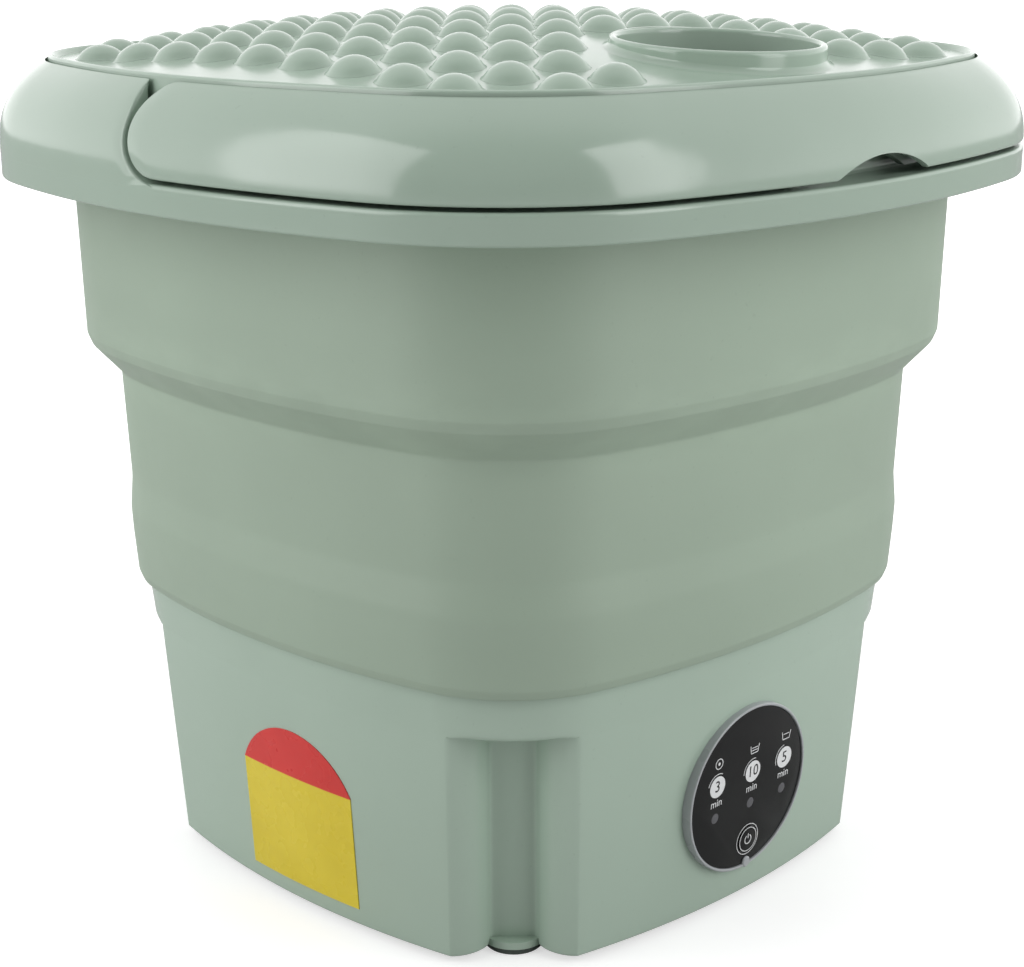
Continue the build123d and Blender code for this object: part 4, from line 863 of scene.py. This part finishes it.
def words_island(text, x, y, size, level, thick=PRINT):
    """Generic lettering, such as a number of minutes, as a thin mesh centred at a place on the panel."""
    curve = bpy.data.curves.new("print", "FONT")
    curve.body, curve.size, curve.extrude, curve.resolution_u = text, size, thick / 2, 3
    curve.align_x, curve.align_y = "CENTER", "CENTER"
    lettering = bpy.data.objects.new("print", curve)
    bpy.context.scene.collection.objects.link(lettering)
    mesh = bpy.data.meshes.new_from_object(lettering.evaluated_get(bpy.context.evaluated_depsgraph_get()))
    points = np.empty(len(mesh.vertices) * 3)
    mesh.vertices.foreach_get("co", points)
    faces = [list(face.vertices) for face in mesh.polygons]
    bpy.data.objects.remove(lettering)
    bpy.data.curves.remove(curve)
    bpy.data.meshes.remove(mesh)
    return points.reshape(-1, 3) + (x, y, level + thick / 2), faces


def face_point(x, z):
    """Place on the panel's plane of a width and a height on the front."""
    return x, (z - PANEL_HEIGHT) / math.cos(FACE_LEAN)


class WASHER_OT_panel(bpy.types.Operator):
    """Make the panel: its ring, black face, light windows, key and printed marks"""
    bl_idname = "washer.panel"
    bl_label = "Control panel"

    def execute(self, context):
        place = panel_matrix()
        self.ring(place)
        self.face(place)
        self.key(place)
        self.prints(place)
        for slot, names in (
                ("bezel_grey", ("panel_ring",)), ("panel_black", ("panel_face", "start_key", "panel_numbers")),
                ("lamp_window", ("panel_windows",)), ("panel_white", ("start_mark", "panel_marks"))):
            paint(slot, *names)
        return {"FINISHED"}

    def ring(self, place):
        """The grey ring with its sleeve, its screw posts and the tab at its lower edge."""
        section = rounded([
            (2.0, -1.4, 0.1), (29.3, -1.4, 0.1), (29.3, 2.2, 0.9), (28.35, 2.2, 0.35), (28.35, 1.15, 0.1),
            (2.0, 1.15, 0.1)], 6)
        islands = [
            capped(lathed(section[section[:, 0] > 2.3], 128)), tube(24, 26, -5, -1.4, 96),
            placed(capped(lathed([(1.9, 1.0), (1.9, 2.0), (1.5, 2.35)], 32)), at(2.0, -27.9))]
        islands += [placed(tube(1.52, 3, -13, -1.2, 24), at(x, y)) for x in (-17, 17) for y in (-13, 13)]
        islands = [placed(island, place) for island in islands]
        make_piece("panel_ring", islands, "base", ("panel_bezel",))

    def face(self, place):
        """The black face, with holes for the lamps and the key, and the lamps' windows as domed light pipes."""
        swing = np.linspace(0, math.pi / 2, 4)
        edge = np.stack([28.03 + 0.17 * np.cos(swing), 1.53 + 0.17 * np.sin(swing)], axis=1)
        disc = capped(lathed(np.concatenate([[(28.2, 1.2)], edge]), 128))
        face = make_piece("panel_face", [placed(disc, place)], "base", ("panel_overlay",))
        lamps = [place @ at(*face_point(x, LAMPS_HEIGHT)) for x in TIMES_ACROSS]
        holes = [placed(rod(1.83, -3, 4, steps=32), lamp) for lamp in lamps]
        cut(face, holes + [placed(rod(4.95, -3, 4, steps=64), place @ at(*face_point(*KEY)))])
        swing = np.linspace(0, 1.35, 6)
        dome = np.stack([1.8 * np.cos(swing), 1.62 + 0.14 * np.sin(swing)], axis=1)
        pipe = capped(lathed(np.concatenate([[(1.8, -4.4)], dome]), 32))
        windows = [placed(pipe, lamp) for lamp in lamps]
        make_piece("panel_windows", windows, "base", ("lamp_windows",))

    def key(self, place):
        """The start key with its stem, and the power sign on it."""
        x, y = face_point(*KEY)
        islands = [placed(rod(*sizes), place @ at(x, y)) for sizes in (
            (4.7, -2.0, 2.0, 0.3, 64), (2.0, -9.0, -1.9, 0, 24))]
        make_piece("start_key", islands, "start_button", ("start_button",))
        sign = [
            flat_ring(x, y, 4.35, 4.1, KEY_LEVEL),
            flat_ring(x, y, 1.75, 1.4, KEY_LEVEL, math.radians(120), math.radians(300)),
            flat_bar((x, y + 0.4), (x, y + 2.1), 0.36, KEY_LEVEL)]
        make_piece("start_mark", [placed(island, place) for island in sign], "start_button")

    def prints(self, place):
        """White discs with the minutes on them, and thin marks round them."""
        marks, numbers = [], []
        for x, minutes, start in zip(TIMES_ACROSS, ("3", "10", "5"), (62, 78, 98)):
            x, y = face_point(x, TIMES_HEIGHT)
            marks.append(flat_ring(x, y, 3.75, 0, FACE_LEVEL))
            marks.append(flat_ring(x, y, 4.75, 4.5, FACE_LEVEL, math.radians(start), math.radians(105), 28))
            numbers.append(words_island(minutes, x, y, 5.6, FACE_LEVEL + 0.03, 0.07))
            marks.append(words_island("min", x, y - 5.9, 3.9, FACE_LEVEL))
            marks += self.pictogram(x, y + 8.2, minutes)
        marks.append(flat_ring(*face_point(*KEY), 5.55, 5.3, FACE_LEVEL))
        for name, islands in (("panel_marks", marks), ("panel_numbers", numbers)):
            make_piece(name, [placed(island, place) for island in islands], "base")

    def pictogram(self, x, y, minutes):
        """Small generic mark over each time: a ring with a dot, or a tub with one or two lines of water."""
        if minutes == "3":
            return [flat_ring(x, y, 1.9, 1.6, FACE_LEVEL), flat_ring(x, y, 0.55, 0, FACE_LEVEL, steps=20)]
        bars = [(-2.2, 1.3, -1.7, -1.5, 0.3), (2.2, 1.3, 1.7, -1.5, 0.3), (-1.7, -1.5, 1.7, -1.5, 0.3)]
        bars += [(-1.5, row, 1.5, row, 0.26) for row in ((0.4, -0.5) if minutes == "10" else (0.4,))]
        return [flat_bar((x + a, y + b), (x + c, y + d), width, FACE_LEVEL) for a, b, c, d, width in bars]


# Small parts that show

class WASHER_OT_small_parts(bpy.types.Operator):
    """Make the feet and give the remaining solids their finishes"""
    bl_idname = "washer.small_parts"
    bl_label = "Small parts"

    def execute(self, context):
        section = rounded([
            (1.4, 0.7, 0.2), (3.2, 0.7, 0.2), (3.6, 0.0, 0.3), (9.5, 0.0, 0.9), (9.5, 2.5, 0.3),
            (2.5, 2.5, 0.2), (2.5, 8.5, 0.6), (1.4, 8.5, 0.3)], 4, hold=0.15)
        feet = [looped(lathed(section, 48, (x, y, 0))) for x, y in foot_spots()]
        plugs = [placed(rod(1.45, 0.75, 8.3, steps=24), at(x, y)) for x, y in foot_spots()]
        make_piece("feet", feet + plugs, "base", ("rubber_feet",))
        paint("dark_rubber", "feet")
        slots = {part["node"]: part["material_slot"] for part in frame["record"]["subparts"]}
        for name, item in frame["nodes"].items():
            if not item.hide_render:
                paint(slots[name], item)
        return {"FINISHED"}


# Finishes

class Tree:
    """Adds nodes to one node tree and joins them."""

    def __init__(self, tree):
        self.nodes, self.links = tree.nodes, tree.links

    def fill(self, socket, value):
        """Links an input to a socket, or gives it a number, a vector or a colour without alpha."""
        if isinstance(value, bpy.types.NodeSocket):
            self.links.new(value, socket)
        else:
            socket.default_value = (*value, 1) if socket.type == "RGBA" else value

    def node(self, kind, **values):
        """New node with its inputs and properties set by their names."""
        made = self.nodes.new(kind)
        for key, value in values.items():
            if key in made.inputs:
                self.fill(made.inputs[key], value)
            else:
                setattr(made, key, value)
        return made

    def joined(self, operation, *values, kind="ShaderNodeMath"):
        """Number that an operation makes of its inputs, which are given in order."""
        made = self.node(kind, operation=operation)
        for socket, value in zip(made.inputs, values):
            self.fill(socket, value)
        return made.outputs["Value"]

    def spread(self, value, low, high, to_low=0.0, to_high=1.0, **more):
        """The value mapped from one range to another, kept inside it."""
        ends = {"From Min": low, "From Max": high, "To Min": to_low, "To Max": to_high}
        return self.node("ShaderNodeMapRange", Value=value, **ends, **more).outputs["Result"]


class Maker(Tree):
    """Builds one node material on Object coordinates, all sizes in metres."""

    def __init__(self, name):
        self.material = bpy.data.materials.new(name)
        self.material.use_nodes = True
        super().__init__(self.material.node_tree)
        self.shader = self.nodes["Principled BSDF"]
        self.place = self.node("ShaderNodeTexCoord").outputs["Object"]

    def to(self, key, value):
        """Fills an input of the shader."""
        self.fill(self.shader.inputs[key], value)

    def noise(self, size, detail=2.0, rough=0.5, stretch=(1, 1, 1)):
        """Noise from 0 to 1 whose lumps are about size metres across."""
        where = self.place
        if stretch != (1, 1, 1):
            where = self.node("ShaderNodeMapping", Vector=where, Scale=stretch).outputs["Vector"]
        made = self.node("ShaderNodeTexNoise", Vector=where, Scale=1 / size, Detail=detail, Roughness=rough)
        return made.outputs["Fac"]

    def blend(self, factor, first, second):
        """Colour mixed from first to second; each is a colour or a socket."""
        made = self.node("ShaderNodeMix", data_type="RGBA", Factor=factor)
        inputs = [socket for socket in made.inputs if socket.type == "RGBA"]
        for socket, value in zip(inputs, (first, second)):
            self.fill(socket, value)
        return next(socket for socket in made.outputs if socket.type == "RGBA")

    def bump(self, height, strength, distance, **under):
        """Normal bent by a height of 0 to 1 over a distance, on top of another normal where one is given."""
        made = self.node("ShaderNodeBump", Height=height, Strength=strength, Distance=distance, **under)
        return made.outputs["Normal"]

    def uneven(self, size, detail, low, high):
        """Roughness that drifts between two values in lumps of the size given."""
        self.to("Roughness", self.spread(self.noise(size, detail), 0.3, 0.7, low, high))


def times(colour, amount):
    """A colour made lighter or darker."""
    return tuple(channel * amount for channel in colour)


def moulded(name, colour, roughness, grain=0.0, shift=0.03, gloss=1.58):
    """Moulded plastic: slow colour drift, small specks, fine orange peel and roughness that varies."""
    maker = Maker(name)
    drift = maker.spread(maker.noise(0.09, 2.0), 0.3, 0.7)
    tone = maker.blend(drift, times(colour, 1 - shift), times(colour, 1 + shift))
    specks = maker.spread(maker.noise(0.0016, 1.0), 0.72, 0.8)
    maker.to("Base Color", maker.blend(specks, tone, times(colour, 1 - 1.6 * shift)))
    maker.uneven(0.03, 3.0, roughness * 0.85, roughness * 1.15)
    peel = maker.bump(maker.noise(0.012, 1.0), 0.10, 0.0008)
    if grain:
        peel = maker.bump(maker.noise(0.0007, 2.0, 0.6), grain, 0.0002, Normal=peel)
    maker.to("Normal", peel)
    maker.to("IOR", gloss)
    return maker


def soft_wall_finish(name, colour, roughness):
    """Soft moulded wall: satin, with pale patches along the ledge, partly stress bloom and partly painted light
    where the ledge faces up.
    """
    maker = moulded(name, colour, roughness, grain=0.12, shift=0.035)
    base = maker.shader.inputs["Base Color"].links[0].from_socket
    height = maker.node("ShaderNodeSeparateXYZ", Vector=maker.place).outputs["Z"]
    # Paler band from 0.158 to 0.196 m up, in patches: painted light on the upward-facing ledge, mixed with
    # stress bloom.
    ledge_light_and_bloom = maker.spread(height, 0.158, 0.170)
    patchy = maker.spread(maker.noise(0.035, 3.0, 0.6, (1, 1, 2.5)), 0.42, 0.72)
    for factor in (maker.spread(height, 0.183, 0.196, 1.0, 0.0), patchy, 0.35):
        ledge_light_and_bloom = maker.joined("MULTIPLY", ledge_light_and_bloom, factor)
    maker.to("Base Color", maker.blend(ledge_light_and_bloom, base, times(colour, 1.25)))
    return maker


def rubber(name, colour):
    """Dark rubber: matt, with a fine even grain and a little dust."""
    maker = Maker(name)
    dust = maker.spread(maker.noise(0.006, 4.0, 0.6), 0.5, 0.8)
    maker.to("Base Color", maker.blend(dust, colour, tuple(channel + 0.03 for channel in colour)))
    maker.uneven(0.004, 2.0, 0.55, 0.75)
    maker.to("Normal", maker.bump(maker.noise(0.0006, 2.0), 0.3, 0.0002))
    return maker


def metal(name, colour, roughness, stretch=(1, 1, 12)):
    """Turned or drawn metal: fine lines across the stretch, with roughness that follows them."""
    maker = Maker(name)
    lines = maker.noise(0.004, 3.0, 0.6, stretch)
    maker.to("Base Color", maker.blend(lines, times(colour, 0.88), times(colour, 1.05)))
    maker.to("Roughness", maker.spread(lines, 0.3, 0.7, roughness * 0.8, roughness * 1.25))
    maker.to("Metallic", 1.0)
    maker.to("Normal", maker.bump(lines, 0.08, 0.0001))
    return maker


def board(name):
    """Circuit board: green mask over faint copper tracks."""
    maker = Maker(name)
    tracks = maker.node("ShaderNodeTexBrick", Vector=maker.place, Scale=420.0).outputs["Fac"]
    maker.to("Base Color", maker.blend(maker.spread(tracks, 0.4, 0.6), (0.03, 0.17, 0.07), (0.06, 0.26, 0.11)))
    maker.uneven(0.002, 2.0, 0.3, 0.45)
    return maker


def sticker(name):
    """Glossy vinyl in two colours: red in the arched head and yellow below it."""
    maker = Maker(name)
    height = maker.node("ShaderNodeSeparateXYZ", Vector=maker.place).outputs["Z"]
    head = maker.spread(height, 0.04785, 0.04795)
    ink = maker.spread(maker.noise(0.02, 2.0), 0.3, 0.7)
    yellow = maker.blend(ink, (0.76, 0.60, 0.035), (0.82, 0.66, 0.05))
    red = maker.blend(ink, (0.68, 0.035, 0.032), (0.74, 0.045, 0.04))
    maker.to("Base Color", maker.blend(head, yellow, red))
    maker.uneven(0.008, 2.0, 0.24, 0.32)
    maker.to("Normal", maker.bump(maker.noise(0.01, 2.0), 0.12, 0.0004))
    return maker


def finishes(scene):
    """Every finish by its slot: what makes it, then its colour, its roughness and what else that takes."""
    casing, soft, panel = scene.washer_casing, scene.washer_bellows, scene.washer_panel
    hard, matt = tuple(casing.colour), casing.roughness
    return {
        "sage_plastic": (moulded, hard, matt),
        # The casing's plastic is the hard plastic made 15% paler: painted light for the lower faces, which the
        # high soft boxes light less.
        "casing_plastic": (moulded, times(hard, 1.15), matt),
        "lid_plastic": (moulded, times(hard, 1.04), matt * 1.1, 0.0, 0.025),
        "tub_plastic": (moulded, times(hard, 1.05), 0.35, 0.05),
        "under_plastic": (moulded, times(hard, 0.9), 0.55, 0.3),
        "pin_plastic": (moulded, times(hard, 0.9), 0.4),
        "impeller_plastic": (moulded, (0.55, 0.62, 0.56), 0.25),
        "soft_wall": (soft_wall_finish, tuple(soft.colour), soft.roughness),
        "soft_plug": (rubber, (0.30, 0.39, 0.32)),
        "dark_rubber": (rubber, (0.075, 0.095, 0.082)),
        "bezel_grey": (moulded, tuple(panel.ring), 0.3),
        "panel_black": (moulded, tuple(panel.face), 0.2, 0.0, 0.03, 1.38),
        "panel_white": (moulded, tuple(panel.marks), 0.4),
        "lamp_window": (moulded, (0.10, 0.10, 0.11), 0.15),
        "switch_black": (moulded, (0.025, 0.025, 0.026), 0.45),
        "pulley_plastic": (moulded, (0.05, 0.05, 0.052), 0.5, 0.2),
        "zinc_screw": (metal, (0.62, 0.62, 0.64), 0.32),
        "cast_bracket": (metal, (0.55, 0.55, 0.56), 0.5, (1, 1, 1)),
        "motor_steel": (metal, (0.55, 0.55, 0.56), 0.35),
        "shaft_steel": (metal, (0.62, 0.62, 0.63), 0.25),
        "board_green": (board,),
        "label_vinyl": (sticker,),
    }


def finish(slot):
    """The node material of a slot, made once."""
    material = bpy.data.materials.get(slot)
    if not (material and material.get("washer_made")):
        if material:
            material.name = slot + "_plain"
        make, *values = finishes(bpy.context.scene)[slot]
        material = make(slot, *values).material
        material["washer_made"] = True
    return material


def paint(slot, *pieces):
    """Gives pieces the finish of a slot."""
    for piece in pieces:
        piece = bpy.data.objects[piece] if isinstance(piece, str) else piece
        piece.data.materials.clear()
        piece.data.materials.append(finish(slot))


# Stage: the picture's width in pixels, and the lens, shift and camera's place that were fitted to it

PICTURE = 1024
LENS_PIXELS, SHIFT_PIXELS = 2066.0, (-1.24, 70.0)
CAMERA_TURN, CAMERA_DOWN, CAMERA_ROLL = math.radians(-134.84), math.radians(17.665), math.radians(-0.24)
CAMERA_AWAY, CAMERA_HEIGHT = 0.6982, 0.321
CAMERA_SIDE = -135.17


def aimed(item, place, target):
    """Puts a light or camera at a place, facing a target."""
    item.location = place
    item.rotation_mode = "QUATERNION"
    item.rotation_quaternion = (Vector(target) - Vector(place)).to_track_quat("-Z", "Y")


def added(scene, name, data):
    """New object in the scene."""
    item = bpy.data.objects.new(name, data)
    scene.collection.objects.link(item)
    return item


class WASHER_OT_stage(bpy.types.Operator):
    """Make the camera, the soft lights and the pale floor"""
    bl_idname = "washer.stage"
    bl_label = "Stage"

    def execute(self, context):
        scene, set_ = context.scene, context.scene.washer_stage
        self.camera(scene)
        self.boxes(scene, set_.boxes)
        self.surroundings(scene, set_.world)
        self.floor(scene, set_.floor)
        scene.view_settings.view_transform = "Standard"
        return {"FINISHED"}

    def camera(self, scene):
        """Camera at the photograph's place: 45 degrees off the panel and looking 17.7 degrees down."""
        data = bpy.data.cameras.new("camera")
        data.sensor_width = 36
        data.lens = LENS_PIXELS / PICTURE * 36
        data.shift_x, data.shift_y = (shift / PICTURE for shift in SHIFT_PIXELS)
        item = added(scene, "camera", data)
        cos, sin = math.cos(CAMERA_TURN), math.sin(CAMERA_TURN)
        place = Vector((CAMERA_AWAY * cos, CAMERA_AWAY * sin, CAMERA_HEIGHT))
        ahead = Vector((-cos * math.cos(CAMERA_DOWN), -sin * math.cos(CAMERA_DOWN), -math.sin(CAMERA_DOWN)))
        aimed(item, place, place + ahead)
        roll = Matrix.Rotation(CAMERA_ROLL, 3, "Z").to_quaternion()
        item.rotation_quaternion = item.rotation_quaternion @ roll
        scene.camera = item

    def boxes(self, scene, power):
        """Two upright soft boxes left and right of the camera, with a width and a height in metres."""
        for name, side, part, size in (("box_left", -62, 1, (0.85, 1.2)), ("box_right", 53, 0.92, (0.62, 1.2))):
            data = bpy.data.lights.new(name, "AREA")
            data.shape = "RECTANGLE"
            data.size, data.size_y = size
            data.energy = power * part
            turn = math.radians(CAMERA_SIDE + side)
            aimed(added(scene, name, data), (1.18 * math.cos(turn), 1.18 * math.sin(turn), 0.72), (0, 0, 0.18))

    def surroundings(self, scene, brightness):
        """A pale world that dims behind the camera and above, and that the camera sees as white."""
        scene.world = bpy.data.worlds.new("studio")
        scene.world.use_nodes = True
        sky = Tree(scene.world.node_tree)
        backdrop = sky.nodes["Background"]
        sky.fill(backdrop.inputs["Color"], (1, 1, 1))
        direction = sky.node("ShaderNodeTexCoord").outputs["Generated"]
        turn = math.radians(CAMERA_SIDE)
        camera = (math.cos(turn), math.sin(turn), 0.2)
        toward = sky.joined("DOT_PRODUCT", direction, camera, kind="ShaderNodeVectorMath")
        dim = sky.spread(toward, 0.0, 0.75, brightness, 0.02, interpolation_type="SMOOTHSTEP")
        height = sky.node("ShaderNodeSeparateXYZ", Vector=direction).outputs["Z"]
        above = sky.joined("MULTIPLY", sky.joined("MAXIMUM", height, 0.0), 0.55)
        dimmed = sky.joined("MULTIPLY", dim, sky.joined("SUBTRACT", 1.0, above))
        seen = sky.node("ShaderNodeLightPath").outputs["Is Camera Ray"]
        lit = sky.joined("MULTIPLY", dimmed, sky.joined("SUBTRACT", 1.0, seen))
        sky.fill(backdrop.inputs["Strength"], sky.joined("ADD", lit, seen))

    def floor(self, scene, colour):
        """Wide pale floor that shows white, with the object's soft shadow on it."""
        mesh = bpy.data.meshes.new("floor")
        side = 9.0
        corners = [(-side, -side, 0), (side, -side, 0), (side, side, 0), (-side, side, 0)]
        mesh.from_pydata(corners, [], [(0, 1, 2, 3)])
        added(scene, "floor", mesh)
        maker = Maker("floor_paper")
        maker.to("Base Color", colour)
        maker.to("Roughness", 0.75)
        maker.to("Normal", maker.bump(maker.noise(0.003, 2.0), 0.05, 0.0002))
        far = maker.joined("LENGTH", maker.place, kind="ShaderNodeVectorMath")
        camera_ray = maker.node("ShaderNodeLightPath").outputs["Is Camera Ray"]
        seen = maker.joined("MULTIPLY", maker.spread(far, 0.2, 0.6, 0.6, 1.0), camera_ray)
        both = maker.node("ShaderNodeAddShader")
        for socket, shader in zip(both.inputs, (maker.shader, maker.node("ShaderNodeEmission", Strength=seen))):
            maker.fill(socket, shader.outputs[0])
        maker.fill(maker.nodes["Material Output"].inputs["Surface"], both.outputs[0])
        mesh.materials.append(maker.material)


# Registration

class WASHER_PT_sidebar(bpy.types.Panel):
    """Lists the pieces and their settings"""
    bl_idname = "WASHER_PT_sidebar"
    bl_label = "Foldable washer"
    bl_space_type = "VIEW_3D"
    bl_region_type = "UI"
    bl_category = "Washer"

    def draw(self, context):
        for operator, settings in STEPS:
            box = self.layout.box()
            box.operator(operator.bl_idname)
            if settings:
                group = getattr(context.scene, settings)
                for key in group.bl_rna.properties.keys():
                    if key not in {"rna_type", "name"}:
                        box.prop(group, key)


SETTINGS = {
    "washer_casing": CasingSettings,
    "washer_bellows": BellowsSettings,
    "washer_rim": RimSettings,
    "washer_lid": LidSettings,
    "washer_panel": PanelSettings,
    "washer_stage": StageSettings,
}
STEPS = (
    (WASHER_OT_stage, "washer_stage"),
    (WASHER_OT_casing, "washer_casing"),
    (WASHER_OT_bellows, "washer_bellows"),
    (WASHER_OT_rim, "washer_rim"),
    (WASHER_OT_handle, None),
    (WASHER_OT_lid, "washer_lid"),
    (WASHER_OT_panel, "washer_panel"),
    (WASHER_OT_small_parts, None),
)
CLASSES = (*SETTINGS.values(), *(operator for operator, _ in STEPS), WASHER_PT_sidebar)


def register():
    for item in CLASSES:
        bpy.utils.register_class(item)
    for key, group in SETTINGS.items():
        setattr(bpy.types.Scene, key, PointerProperty(type=group))


def unregister():
    for key in SETTINGS:
        delattr(bpy.types.Scene, key)
    for item in reversed(CLASSES):
        bpy.utils.unregister_class(item)


def main():
    """Makes the stage and every piece."""
    register()
    for operator, _ in STEPS:
        family, name = operator.bl_idname.split(".")
        getattr(getattr(bpy.ops, family), name)()


if __name__ == "__main__":
    main()
